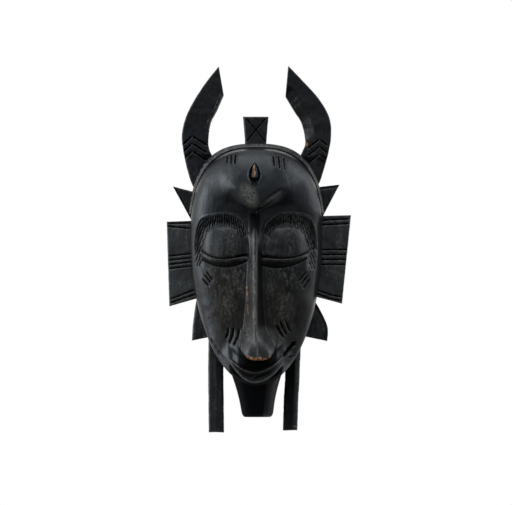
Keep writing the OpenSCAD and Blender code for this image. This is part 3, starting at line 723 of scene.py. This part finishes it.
def board(name, side_a, side_b, thick, shape, grooves=(), groove=(1.15, 1.3), front=90, wall=8, round_edge=1.6,
          ends=(1.6, 1.6), ragged=0.0, marks=None, seed=1):
    """A carved board between two edges, from one end to the other.

    side_a and side_b hold (x, z) at each station. shape(x, z) is how far the front is cut away, and grooves
    are lines cut into it with a half-width and a depth. ends gives how far the front is rounded off at the
    first and last station, and ragged how unevenly the last one is sawn. marks holds rules(x, z, depth).
    """
    a, b = np.asarray(side_a, float), np.asarray(side_b, float)
    s = len(a)
    wobble = noise(at_depth(np.arange(s) * 0.7, 0), 7, seed)[:, None] * 0.15
    across = (b - a) / np.linalg.norm(b - a, axis=1)[:, None]
    a = a + across * np.abs(wobble)
    b = b - across * np.abs(wobble[::-1])
    u = 0.5 - 0.5 * np.cos(np.linspace(0, math.pi, front))
    u = 0.6 * u + 0.4 * np.linspace(0, 1, front)
    x = a[:, :1] + u * (b[:, :1] - a[:, :1])
    z = a[:, 1:] + u * (b[:, 1:] - a[:, 1:])
    span = np.linalg.norm(b - a, axis=1)[:, None]
    to_side = np.minimum(u * span, (1 - u) * span)
    middle = (a + b) / 2
    way = np.concatenate([[0], np.cumsum(np.linalg.norm(np.diff(middle, axis=0), axis=1))])[:, None]

    def rounded(distance, reach):
        k = unit(1 - distance / max(reach, 0.01))
        return reach * (1 - np.sqrt(1 - k * k))

    loss = rounded(to_side, round_edge) + rounded(way, ends[0]) + rounded(way[-1] - way, ends[1])
    rough = 0.25 * speckle(x, z, 9, seed + 30) + 0.12 * speckle(x, z, 3.5, seed + 31)
    rough += 0.05 * speckle(x, z, (1.2, 1.2, 5), seed)
    depth = thick - 0.35 - loss - shape(x, z) - cuts(grooves, x, z, *groove) + rough
    face = np.stack([x, -np.maximum(depth, BACK + 1.5), z], axis=-1)
    t = np.linspace(0, 1, wall + 2)[1:-1][None, :, None]
    back_a, back_b = (np.stack([e[:, 0], np.full(s, -BACK), e[:, 1]], axis=1)[:, None, :] for e in (a, b))
    back_u = np.linspace(0, 1, 12)[None, :, None]
    down_b = face[:, -1:, :] * (1 - t) + back_b * t
    back = back_b * (1 - back_u) + back_a * back_u
    down_a = back_a * (1 - t) + face[:, :1, :] * t
    stations = np.concatenate([face, down_b, back, down_a], axis=1)
    if ragged:
        p = stations.reshape(-1, 3) * [1, 1, 0]
        saw = (0.6 * noise(p, 5, seed + 40) + 0.4 * noise(p, 1.8, seed + 41)).reshape(stations.shape[:2])
        stations[:, :, 2] += ragged * (0.5 + 0.5 * saw) * smooth(9, 0, way[-1] - way)
    x, y, z = np.moveaxis(stations, 2, 0)
    # Painted shade in the cut grooves.
    values = {"groove": unit(cuts(grooves, x, z, groove[0] * 0.95, 1.1)) * (y < -BACK - 1)}
    for mark, rule in (marks or {}).items():
        values[mark] = np.maximum(values.get(mark, 0), rule(x, z, -y))
    return loft(name, stations, values)



# ---------- Crown band ----------

def crown_band():
    """The band round the crown: a strip whose front slants outward, with a groove against the face."""
    rows = 300
    loop = outline(rows)
    loop = np.roll(loop, rows, axis=0)[: 2 * rows + 1]
    keep = loop[:, 1] > BAND_FOOT + 0.2
    step = np.gradient(loop, axis=0)
    n = np.stack([-step[:, 1], step[:, 0]], axis=1)
    n /= np.linalg.norm(n, axis=1)[:, None]
    width = 2.2 + 2.4 * smooth(WIDEST + 20, CROWN, loop[:, 1])
    width += 0.6 * bell(np.abs(loop[:, 0]) - 34, 14) * (loop[:, 1] > -10)
    loop, n, width = loop[keep], n[keep], width[keep]
    # Points of the section: shares of the width from the face outward, and how far behind the band's front.
    slant = [(-0.5, 3.0), (0.0, 2.2), (0.14, 1.0), (0.22, 0.5), (0.3, 0.6), (0.5, 1.4), (0.7, 2.4), (0.86, 3.3),
             (0.97, 4.4), (0.99, 8)]
    section = [(share, BAND_DEPTH - drop) for share, drop in slant]
    section += [(0.985, 12), (0.985, 6), (0.985, BACK), (0.5, BACK), (-0.5, BACK)]
    stations = np.empty((len(loop), len(section), 3))
    for k, (share, depth) in enumerate(section):
        at = loop + n * (share * width)[:, None]
        stations[:, k, 0], stations[:, k, 2] = at[:, 0], at[:, 1]
        stations[:, k, 1] = -depth
    p = stations.reshape(-1, 3)
    wobble = (0.22 * noise(p, 7, 41) + 0.1 * noise(p, 2.5, 42)).reshape(stations.shape[:2])
    in_front = stations[:, :, 1] < -9
    stations[:, :, 1] += np.abs(wobble) * in_front
    speck = noise(p, 3, 43).reshape(stations.shape[:2])
    # Painted highlight: the band's front is greyed in speckled patches so that it looks lit.
    bevel = (stations[:, :, 1] < -17.2) * smooth(-1.0, 0.6, speck)
    return loft("crown_band_carved", stations[:, ::-1], {"scuff_and_highlight": bevel[:, ::-1]})


# ---------- Pieces ----------

def horn(name, side, outer, inner, apex, arms, bevel, shine, groove, seed):
    """A curved horn with three chevrons.

    apex is the highest chevron's point, and arms lead from it outward and inward. bevel is how wide and how
    deep the inner edge is cut off above the chevrons. shine is a painted highlight line on that cut: its
    distance from the edge as a share of the cut's width, its half-width and its amount.
    """
    n = 260
    a = curve(inner, n) * [side, 1]
    b = curve(outer, n) * [side, 1]
    rail = a[::10]
    grooves = []
    for i in range(3):
        top = np.array([apex[0] * side, apex[1] - 6.7 * i])
        outward = top + [side * arms[0][0], arms[0][1]]
        inward = top + [side * arms[1][0], arms[1][1]]
        grooves += [[outward, top], [top, inward]]

    def shape(x, z):
        # Below the chevrons the horn is cut like a roof.
        low = smooth(apex[1] - 15, apex[1] - 21, z)
        ridge_x = side * (apex[0] - 3.5 - 0.12 * (apex[1] - 18 - z))
        gone = low * 0.22 * np.abs(x - ridge_x)
        k = unit(1 - away_from(rail, x, z) / bevel[0])
        high = smooth(apex[1] - 2, apex[1] + 10, z)
        return gone + high * bevel[1] * (np.sqrt(k * k + 0.015) - 0.1225)

    # Painted highlight along the cut-off inner edge.
    def edge(x, z, depth):
        place, reach, amount = shine
        line = bell(away_from(rail, x, z) - bevel[0] * place, reach) * smooth(apex[1], apex[1] + 10, z)
        return amount * line * smooth(-0.8, 0.3, speckle(x, z, 2.2, seed + 6)) * (depth > HORN_T - 6)

    marks = {"scuff_and_highlight": edge}
    if side > 0:
        marks["wear"] = right_horn_wear
    else:
        a, b = b, a
    return board(name, a, b, HORN_T, shape, grooves, groove, ends=(1.0, 0.3), seed=seed, marks=marks)


def right_horn_wear(x, z, depth):
    """Bare wood on the inner edge."""
    place = np.hypot((x - 45.2) / 1.9, (z - 16.0) / 4.6)
    return 0.8 * smooth(1.0, 0.3, place) * smooth(-0.8, 0.5, speckle(x, z, 1.6, 57))


def rubbed(amount, size, low, high, seed):
    """A rule that rubs a board in patches of a size, where the noise is over low, and fully over high."""
    return lambda x, z, depth: amount * smooth(low, high, speckle(x, z, size, seed + 7))


def chamfer_marks(line, width, seed):
    """Marks of a board whose edge is cut off along a line: painted shade on the cut, with a thin lighter line
    inside.
    """

    # Painted shade on the cut-off edge.
    def dark(x, z, depth):
        return 0.8 * smooth(width, width - 0.8, away_from(line, x, z))

    def scuff_and_highlight(x, z, depth):
        rub = speckle(x, z, (2.5, 2.5, 9), seed + 7)
        away = away_from(line, x, z)
        inside = 0.8 * bell(away - width - 0.5, 0.5) * smooth(-0.7, 0.2, rub)
        return np.maximum(0.45 * smooth(-0.3, 0.6, rub) * smooth(width, width + 2, away), inside)

    return {"groove": dark, "scuff_and_highlight": scuff_and_highlight}


def spike(name, side, tip, inner_top, inner_low, chamfer, seed):
    """A pointed board with one edge cut off along the line called chamfer."""
    n = 120
    tip = np.array(tip)
    upper = np.linspace(tip + [-side * 0.5, 0.15], inner_top, n)
    lower = np.linspace(tip + [-side * 0.5, -0.5], inner_low, n)

    def shape(x, z):
        return 2.6 * smooth(3.0, 0.2, away_from(chamfer, x, z)) + 0.06 * np.abs(x - tip[0])

    a, b = (upper, lower) if side < 0 else (lower, upper)
    marks = chamfer_marks(chamfer, 2.8, seed)
    return board(name, a, b, BOARD_T, shape, front=60, ends=(0.3, 0.3), seed=seed, marks=marks)


def ear_plate(name, corners, grooves, dust_and_highlight_share, seed):
    """A grooved plate; corners go round from the top left, and the amount after the grooves sets the pale strip
    just under each groove: dust and a painted highlight.
    """
    n = 260
    top_left, foot_left, foot_right, top_right = corners
    foot_z = min(z for _, z in corners)
    a = np.linspace(top_left, foot_left, n)
    b = np.linspace(top_right, foot_right, n)

    def shape(x, z):
        swell = 0.5 * smooth(0.5, 1.0, np.abs(x) / 85) * smooth(10, 0, np.abs(z - foot_z - 4))
        return swell + 0.35 * (1 - np.cos((z - foot_z) / 9))

    # Dust, and a painted highlight on the lower side of each groove.
    def dust_and_highlight(x, z, depth):
        edges = unit(cuts(grooves, x, z + 1.1, 1.2, 1.0))
        return dust_and_highlight_share * edges * smooth(-0.2, 0.6, speckle(x, z, (2.4, 2.4, 1.0), seed + 5))

    marks = {"dust_and_highlight": dust_and_highlight, "scuff_and_highlight": rubbed(0.75, (3, 3, 12), -0.2, 0.7, seed)}
    return board(name, a, b, BOARD_T, shape, grooves, (1.2, 1.4), front=80, ends=(1.0, 1.0), seed=seed,
                 marks=marks)


def jaw_fin(name, side, edge, inside, chamfer, seed):
    """A board that narrows towards its top, with its outer edge cut off if chamfer is true."""
    n = 140
    a = curve(edge, n) * [side, 1]
    b = curve(inside, n) * [side, 1]
    rail = a[::7]

    def shape(x, z):
        away = away_from(rail, x, z)
        return 2.8 * smooth(3.4, 0.4, away) if chamfer else 0.5 * smooth(3, 0, away)

    if side > 0:
        a, b = b, a
    marks = {"scuff_and_highlight": rubbed(0.7, (2.5, 2.5, 9), -0.3, 0.6, seed)}
    if chamfer:
        marks = chamfer_marks(rail, 3.4, seed)
    return board(name, a, b, BOARD_T, shape, front=70, ends=(0.3, 1.2), seed=seed, marks=marks)


def leg(name, middle, half, shape, seed, wear=None):
    """A leg round a middle line. A leg with a rule for wear also gets painted shade on its left side."""
    n = 260
    line = curve(middle, n)
    drift = np.stack([0.25 * speckle(line[:, 0], line[:, 1], (9, 9, 14), seed + 3), np.zeros(n)], axis=1)
    a = line - [half, 0] + drift
    b = line + [half, 0] + drift
    marks = {"scuff_and_highlight": rubbed(0.4, (1.5, 1.5, 12), 0.0, 0.8, seed)}

    # Painted shade on the leg's left side.
    def dark(x, z, depth):
        return 0.5 * smooth(3.5, 1.0, x - np.interp(z, line[::-1, 1], line[::-1, 0]))

    if wear:
        marks["wear"] = wear
        marks["groove"] = dark
    return board(name, a, b, LEG_T, shape, front=60, ends=(0.3, 1.4), round_edge=2.0, ragged=0.9, seed=seed,
                 marks=marks)


def crest_block():
    """The block on the crown, wider towards its top, with two crossing grooves."""
    foot = BAND_TOP - 3.5
    top = box_mm("crest_block")[1][2] - 0.1
    middle = -0.7

    def height_share(z):
        return unit((z - BAND_TOP) / (top - BAND_TOP))

    def half_at(z):
        return 9.7 + 1.9 * height_share(z) ** 1.3

    def shape(x, z):
        u = (x - middle) / half_at(z)
        return 0.8 * smooth(1.6, 0.2, (1 - np.abs(u)) * 10) + 0.5 * u * u * smooth(0.9, 1.0, height_share(z))

    z = np.linspace(top, foot, 150)
    a = np.stack([middle - half_at(z), z], 1)
    b = np.stack([middle + half_at(z), z], 1)
    grooves = [[(-10.0, top - 0.6), (8.6, BAND_TOP + 0.8)], [(9.2, top - 0.6), (-9.4, BAND_TOP + 0.8)]]
    return board("crest_carved", a, b, CREST_T, shape, grooves, (0.85, 0.9), ends=(1.4, 0.2), round_edge=1.4,
                 seed=61)


def beard():
    """The beard: a flared block with a flat front and a blunt foot."""
    top = FOOT + 15.0
    foot = box_mm("beard")[0][2] + 0.3
    rows, front_n, back_n = 170, 110, 30
    k = np.linspace(0, 1, rows)
    z = top + (foot - top) * k
    blunt = k**26
    left = 13.3 + 11.0 * (1 - k) ** 1.5 - 2.2 * blunt
    right = 15.1 + 9.3 * (1 - k) ** 1.7 - 2.2 * blunt
    deep = 42.5 - 8.5 * k - 3.0 * blunt
    back = 4.4
    stations = np.empty((rows, front_n + back_n, 3))
    a = np.linspace(0, math.pi, front_n)
    c, s = np.cos(a), np.sin(a)
    for row in range(rows):
        x = np.where(c > 0, right[row], left[row]) * np.sign(c) * np.abs(c) ** 0.5
        stations[row, :front_n] = at_depth(x, z[row], back + (deep[row] - back) * s**0.34)
        back_x = np.linspace(-left[row], right[row], back_n + 2)[1:-1]
        stations[row, front_n:] = at_depth(back_x, z[row], back)
    p = stations.reshape(-1, 3)
    rough = 0.3 * noise(p, 10, 71) + 0.12 * noise(p, 4, 72) + 0.06 * noise(p, (1.3, 1.3, 6), 73)
    stations[:, :front_n, 1] += np.abs(rough.reshape(rows, -1)[:, :front_n])
    # A flat facet is shaved off the right of the front.
    edge = 9.5 - 5.0 * k[:, None]
    facet = smooth(0, 2.5, stations[:, :, 0] - edge) * (stations[:, :, 1] < -back - 2)
    stations[:, :, 1] += 0.14 * facet * np.maximum(0, stations[:, :, 0] - edge)
    # Painted shade on the beard's front, which lies in the face's shadow; the shaved facet gets less of it.
    front = stations[:, :, 1] < -back - 20
    values = {"groove": 0.62 * front * (1 - 0.35 * facet), "tint": facet}
    return loft("beard_carved", stations[:, ::-1], {m: v[:, ::-1] for m, v in values.items()})


# ---------- Materials ----------

def nodes_of(material):
    material.use_nodes = True
    tree = material.node_tree
    tree.nodes.clear()
    out = tree.nodes.new("ShaderNodeOutputMaterial")
    shader = tree.nodes.new("ShaderNodeBsdfPrincipled")
    tree.links.new(shader.outputs[0], out.inputs[0])
    return tree, shader


class Tree:
    """Short names for the shader nodes used below. Values may be numbers or the outputs of other nodes."""

    def __init__(self, tree):
        self.tree = tree

    def put(self, value, socket):
        if isinstance(value, bpy.types.NodeSocket):
            self.tree.links.new(value, socket)
        else:
            socket.default_value = value

    def node(self, kind, inputs, **settings):
        """The outputs of a new node."""
        node = self.tree.nodes.new("ShaderNode" + kind)
        for name, value in settings.items():
            setattr(node, name, value)
        for name, value in inputs.items():
            self.put(value, node.inputs[name])
        return node.outputs

    def math(self, operation, a, b, clamp=False):
        return self.node("Math", {0: a, 1: b}, operation=operation, use_clamp=clamp)[0]

    def times(self, a, b, clamp=False):
        return self.math("MULTIPLY", a, b, clamp)

    def most(self, a, b):
        return self.math("MAXIMUM", a, b)

    def mark(self, name):
        return self.node("Attribute", {}, attribute_name=name)["Fac"]

    def noise(self, scale, stretch=(1, 1, 1), detail=4.0, rough=0.55):
        place = self.node("TexCoord", {})["Object"]
        place = self.node("Mapping", {"Vector": place, "Scale": stretch})[0]
        numbers = {"Vector": place, "Scale": scale, "Detail": detail, "Roughness": rough}
        return self.node("TexNoise", numbers)["Fac"]

    def steps(self, value, low, high, to_low=0.0, to_high=1.0):
        numbers = {"Value": value, "From Min": low, "From Max": high, "To Min": to_low, "To Max": to_high}
        return self.node("MapRange", numbers, interpolation_type="SMOOTHSTEP")["Result"]

    def blend(self, share, a, b):
        a, b = (c if isinstance(c, bpy.types.NodeSocket) else (*c, 1.0) for c in (a, b))
        return self.node("Mix", {"Factor": share, "A": a, "B": b}, data_type="RGBA")["Result"]

    def bump(self, height, distance, strength, *normal):
        numbers = {"Distance": distance, "Strength": strength, "Height": height}
        return self.node("Bump", numbers | dict(zip(["Normal"], normal)))[0]


def stained_wood():
    """Black-stained, waxed wood. The marks on each mesh say where it is rubbed, dusty or bare, and where shade
    and highlights are painted in.
    """
    material = bpy.data.materials.new("stained_wood")
    tree, shader = nodes_of(material)
    t = Tree(tree)
    grain = t.noise(480, (1, 1, 0.07), detail=5)
    pores = t.noise(1700, (1, 1, 0.05), detail=2)
    cloud = t.noise(24, (1, 1, 0.7), detail=3)
    patch = t.noise(75, (1, 1, 0.5), detail=4)
    streak = t.noise(560, (1, 1, 0.6), detail=5, rough=0.75)
    fine = t.noise(900, detail=3)
    powder = t.noise(1300, detail=2)
    ridge, hollow = t.mark("ridge"), t.mark("hollow")
    wear, dust_and_highlight, scuff_and_highlight = t.mark("wear"), t.mark("dust_and_highlight"), t.mark("scuff_and_highlight")
    tint, groove, grey_and_painted_light = t.mark("tint"), t.mark("groove"), t.mark("grey_and_painted_light")

    black = t.blend(t.steps(cloud, 0.42, 0.62), (0.0062, 0.0068, 0.0082), (0.0098, 0.0088, 0.0075))
    black = t.blend(t.times(tint, t.steps(patch, 0.25, 0.7)), black, (0.036, 0.0255, 0.0145))
    # Greyer stain on some pieces, with painted light that brightens the pieces on the left.
    greyed = t.times(grey_and_painted_light, t.steps(grain, 0.3, 0.7, 0.55, 1.0))
    black = t.blend(greyed, black, (0.070, 0.070, 0.067))
    black = t.blend(t.times(t.steps(grain, 0.5, 0.75), 0.3), black, (0.02, 0.017, 0.013))
    rubbed = t.times(t.steps(ridge, 0.12, 0.45), t.steps(fine, 0.35, 0.6), clamp=True)
    colour = t.blend(t.times(rubbed, 0.55), black, (0.095, 0.09, 0.082))
    # Rubbed grey stain, and painted highlights on ridges, lids, the brow and the band.
    scuffed_and_highlighted = t.times(scuff_and_highlight, t.steps(streak, 0.43, 0.65), clamp=True)
    colour = t.blend(t.times(scuffed_and_highlighted, 0.85), colour, (0.185, 0.176, 0.150))
    bare = t.blend(t.steps(grain, 0.35, 0.65), (0.30, 0.10, 0.030), (0.55, 0.25, 0.09))
    colour = t.blend(t.steps(wear, 0.10, 0.85), colour, bare)
    # Pale dust, and painted highlights on the brow, the lips and the plates.
    dust_and_highlight_share = t.times(dust_and_highlight, t.steps(powder, 0.36, 0.6), clamp=True)
    colour = t.blend(t.times(dust_and_highlight_share, 0.9), colour, (0.24, 0.225, 0.18))
    # Painted shade: near-black in cuts, recesses and shaded sides, from the groove mark and inward bends.
    deep = t.most(t.steps(groove, 0.15, 0.75), t.times(t.steps(hollow, 0.18, 0.5), 0.6))
    deep = t.times(deep, t.steps(dust_and_highlight_share, 0.1, 0.6, 1.0, 0.3))
    colour = t.blend(t.times(deep, 0.9), colour, (0.0018, 0.0018, 0.002))
    t.put(colour, shader.inputs["Base Color"])

    rough = t.math("ADD", t.steps(patch, 0.3, 0.7, 0.32, 0.42), t.times(t.steps(grain, 0.4, 0.8), 0.06))
    worn = t.most(wear, dust_and_highlight_share)
    worn = t.most(worn, t.most(t.times(scuffed_and_highlighted, 0.6), deep))
    rough = t.math("ADD", rough, t.times(worn, 0.35), clamp=True)
    t.put(rough, shader.inputs["Roughness"])
    # The painted shade also lowers the specular level.
    t.put(t.steps(deep, 0.0, 1.0, 0.5, 0.08), shader.inputs["Specular IOR Level"])
    shader.inputs["IOR"].default_value = 1.5

    bump = t.bump(grain, 0.0003, 0.35)
    bump = t.bump(patch, 0.0012, 0.25, bump)
    bump = t.bump(streak, 0.00025, 0.35, bump)
    bump = t.bump(pores, 0.00015, 0.3, bump)
    t.put(bump, shader.inputs["Normal"])
    return material


def plated_steel(name, colour, scratch):
    material = bpy.data.materials.new(name)
    tree, shader = nodes_of(material)
    t = Tree(tree)
    brushed = t.noise(900, scratch, detail=4)
    stain = t.noise(160, detail=3)
    dark = tuple(c * 0.55 for c in colour)
    t.put(t.blend(t.steps(stain, 0.45, 0.7), colour, dark), shader.inputs["Base Color"])
    t.put(t.steps(brushed, 0.2, 0.8, 0.28, 0.48), shader.inputs["Roughness"])
    shader.inputs["Metallic"].default_value = 1.0
    t.put(t.bump(brushed, 0.0001, 0.4), shader.inputs["Normal"])
    return material


# ---------- Build ----------

wood = stained_wood()
steel = plated_steel("zinc_steel", (0.62, 0.56, 0.42), (1, 1, 0.06))
screw_steel = plated_steel("screw_steel", (0.66, 0.62, 0.52), (1, 1, 1))


def add(piece, *nodes, grey_and_painted_light=0.0):
    """Dresses a piece in the wood, greyed by the given amount: partly rubbed stain, partly painted light that
    brightens the pieces on the left. Lets it stand for CAD nodes.
    """
    if grey_and_painted_light:
        put_mark(piece.data, "grey_and_painted_light", np.full(len(piece.data.vertices), grey_and_painted_light))
    piece.data.materials.append(wood)
    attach(piece, "root")
    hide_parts(*nodes)
    return piece


add(carved_face(), "face_shell")
add(crown_band(), "crown_band")
add(crest_block(), "crest_block")

HORNS = {
    "left": dict(
        side=-1, apex=(57.5, 24.5), arms=((9.2, -8.4), (-13.8, -8.6)), bevel=(2.8, 3.6),
        shine=(1.0, 0.7, 1.9), groove=(1.2, 1.4), seed=51,
        outer=[(33.8, 87.3), (44.6, 73.8), (55.4, 57.6), (63.5, 41.4), (67.0, 25.2), (65.3, 9), (61.7, -7.2),
               (57.0, -20.4), (52, -24)],
        inner=[(29.3, 61.2), (35.6, 46.8), (41, 36), (43.1, 19.8), (41.5, 10.8), (37, 3), (34, -2)]),
    "right": dict(
        side=1, apex=(56.6, 21.8), arms=((7.6, -6.4), (-11.5, -9.0)), bevel=(10.5, 7.0),
        shine=(0.55, 2.6, 0.12), groove=(1.1, 1.0), seed=52,
        outer=[(28.4, 87.8), (41.9, 73.8), (56.3, 57.6), (65.3, 41.4), (67, 25.2), (64.4, 9), (59.9, -7.2),
               (56.2, -17.6), (51, -22)],
        inner=[(25.9, 60), (33.8, 46.8), (40.4, 36), (43.7, 19.8), (41, 10.8), (37, 3), (34, -2)]),
}
for place, numbers in HORNS.items():
    add(horn(place + "_horn_carved", **numbers), place + "_horn")

LEFT_CHAMFER = [(-75, -21), (-58, -52.0)]
RIGHT_CHAMFER = [(75, -19), (56, -20.8)]
left_spike = spike("left_spike_carved", -1, (-75.2, -20.5), (-50, -26.8), (-50, -66.5), LEFT_CHAMFER, 81)
right_spike = spike("right_spike_carved", 1, (74.7, -18.9), (50, -21.4), (50, -65.5), RIGHT_CHAMFER, 82)
add(left_spike, "left_ear_spike")
add(right_spike, "right_ear_spike")

LEFT_GROOVES = [[(-80, -53.6), (-56, -53.2)], [(-80.5, -56.2), (-56, -58.4)]]
LEFT_GROOVES += [[(-80, -83.0 - 3.8 * i), (-56, -80.4 - 3.7 * i)] for i in range(4)]
LEFT_GROOVES += [[(-78, -121.8), (-53, -112.2)], [(-78, -125.2), (-53, -116.6)]]
LEFT_PLATE = [(-80.6, -52.0), (-78.3, -128.0), (-46, -118.8), (-50, -50.9)]
RIGHT_GROOVES = [[(84, -49.6), (56, -50.8)], [(83.6, -53.8), (56, -55.0)]]
RIGHT_GROOVES += [[(82, -77.2 - 4.4 * i), (56, -77.0 - 4.5 * i)] for i in range(4)]
RIGHT_GROOVES += [[(77, -119.8), (66, -117.4), (52, -112.6)], [(77, -123.2), (66, -121), (52, -115.8)]]
RIGHT_PLATE = [(50, -47.1), (46, -117.4), (76.8, -125.6), (84.8, -46.1)]
# The left plate is greyer: greyed stain, and painted light from the left.
add(ear_plate("left_plate_carved", LEFT_PLATE, LEFT_GROOVES, 0.5, 91), "left_ear_plate", grey_and_painted_light=0.95)
add(ear_plate("right_plate_carved", RIGHT_PLATE, RIGHT_GROOVES, 0.95, 92), "right_ear_plate", grey_and_painted_light=0.6)

LEFT_FIN_EDGE = [(54, -122.5), (55.6, -132), (57.2, -145), (58.0, -158.7)]
LEFT_FIN_INSIDE = [(45, -119), (42, -132), (40, -145), (38, -154.6)]
RIGHT_FIN_EDGE = [(51, -120.8), (57.2, -131.4), (62.4, -142.2), (64.2, -150), (63.5, -159.1)]
RIGHT_FIN_INSIDE = [(45, -117.4), (42, -132), (40, -145), (36, -153.5)]
left_fin = jaw_fin("left_fin_carved", -1, LEFT_FIN_EDGE, LEFT_FIN_INSIDE, False, 101)
right_fin = jaw_fin("right_fin_carved", 1, RIGHT_FIN_EDGE, RIGHT_FIN_INSIDE, True, 102)
# The left fin is greyer: greyed stain, and painted light from the left.
add(left_fin, "left_jaw_fin", grey_and_painted_light=0.28)
add(right_fin, "right_jaw_fin", grey_and_painted_light=0.15)


def left_leg_shape(x, z):
    return 0.14 * np.abs(x + 36)


def right_leg_shape(x, z):
    middle = 34.5 + 0.02 * (z + 198)
    return 0.5 * np.abs(x - middle) * np.where(x > middle, 1.2, 0.45)


def right_leg_wear(x, z, depth):
    """Bare wood on the front, below the foot of the face."""
    corner = np.hypot((x - 34.5) / 4.5, (z - FOOT + 41.0) / 6.0)
    return smooth(1.1, 0.3, corner) * smooth(-0.5, 0.5, speckle(x, z, 1.6, 33, depth))


left_foot = box_mm("left_leg")[0][2]
right_foot = box_mm("right_leg")[0][2]
LEFT_LEG = [(-36.4, -156), (-36.5, -185), (-36.4, -215), (-36.0, left_foot + 0.2)]
RIGHT_LEG = [(33.0, -160), (32.4, -185), (31.0, -215), (30.2, right_foot + 0.2)]
# Only the left leg is greyed: painted light from the left.
add(leg("left_leg_carved", LEFT_LEG, 6.95, left_leg_shape, 111), "left_leg", grey_and_painted_light=0.22)
add(leg("right_leg_carved", RIGHT_LEG, 6.6, right_leg_shape, 112, right_leg_wear), "right_leg")
add(beard(), "beard")


def dress(node, material):
    """Puts a material on a CAD node that is shown as it is."""
    obj = frame["nodes"][node]
    obj.data.materials.clear()
    obj.data.materials.append(material)


dress("back_rim", wood)
dress("keyhole_plate", steel)
dress("plate_screws", screw_steel)


# ---------- Floor, lights and camera ----------

def pale_card():
    material = bpy.data.materials.new("pale_floor")
    shader = nodes_of(material)[1]
    shader.inputs["Base Color"].default_value = (0.6, 0.6, 0.59, 1)
    shader.inputs["Roughness"].default_value = 0.85
    shader.inputs["Specular IOR Level"].default_value = 0.1
    return material


FLOOR_DROP = 170  # how far the floor lies below the legs, so that it stays out of the picture


def floor():
    z = (left_foot - FLOOR_DROP) * 0.001
    corners = [(-0.8, -0.16, z), (0.8, -0.16, z), (0.8, 1.3, z), (-0.8, 1.3, z)]
    mesh = bpy.data.meshes.new("floor")
    mesh.from_pydata(corners, [], [(0, 1, 2, 3)])
    obj = bpy.data.objects.new("floor", mesh)
    bpy.context.scene.collection.objects.link(obj)
    mesh.materials.append(pale_card())


def world():
    """White behind the mask, nearly as bright from the left, dimmer from the right and above, dark below."""
    scene_world = bpy.data.worlds.new("studio")
    bpy.context.scene.world = scene_world
    scene_world.use_nodes = True
    tree = scene_world.node_tree
    tree.nodes.clear()
    t = Tree(tree)
    x, y, z = t.node("SeparateXYZ", {0: t.node("TexCoord", {})["Generated"]})
    behind = t.steps(y, 0.05, 0.6, 0.0, 1.0)
    above = t.steps(z, 0.1, 0.85, 0.0, 0.12)
    level = t.steps(z, -0.14, 0.07, 0.02, 0.36)
    right = t.times(t.steps(x, 0.25, 0.9, 0.0, 0.22), t.steps(z, -0.4, 0.1))
    left = t.times(t.steps(x, -0.3, -0.95, 0.0, 0.95), t.steps(z, -0.45, 0.15))
    light = t.most(t.most(behind, t.math("ADD", above, level)), t.most(left, right))
    tint = t.blend(behind, (0.80, 0.90, 1.0), (1.0, 1.0, 1.0))
    t.node("OutputWorld", {0: t.node("Background", {"Strength": light, "Color": tint})[0]})


def softbox(name, place, size, watts, colour):
    """A rectangular area light that looks at the mask's middle."""
    light = bpy.data.lights.new(name, "AREA")
    light.shape = "RECTANGLE"
    light.size, light.size_y = size
    light.energy = watts
    light.color = colour
    obj = bpy.data.objects.new(name, light)
    obj.location = place
    aim = Vector((0, 0, -0.08)) - Vector(place)
    obj.rotation_euler = aim.to_track_quat("-Z", "Y").to_euler()
    bpy.context.scene.collection.objects.link(obj)


PICTURE_WIDTH = 0.45824  # metres across the picture at the mask's depth
VIEW_X = -0.00045
VIEW_Z = -0.07965
FOCUS_Y = -0.02  # the plane where the picture has that width


def camera():
    """A very long lens straight in front, as the photo shows almost no perspective."""
    scene = bpy.context.scene
    data = bpy.data.cameras.new("camera")
    data.lens = 400
    data.sensor_width = 36
    obj = bpy.data.objects.new("camera", data)
    distance = PICTURE_WIDTH * data.lens / data.sensor_width
    obj.location = (VIEW_X, FOCUS_Y - distance, VIEW_Z)
    obj.rotation_euler = (math.pi / 2, 0, 0)
    scene.collection.objects.link(obj)
    scene.camera = obj


floor()
world()
softbox("top_softbox", (-0.15, -0.45, 1.2), (1.3, 0.8), 7.5, (0.86, 0.93, 1.0))
softbox("left_softbox", (-1.5, -0.22, 0.2), (0.5, 1.3), 10.5, (0.84, 0.92, 1.0))
softbox("right_softbox", (1.35, 0.12, 0.45), (0.5, 1.0), 5, (0.88, 0.94, 1.0))
camera()
bpy.context.scene.view_settings.view_transform = "Standard"
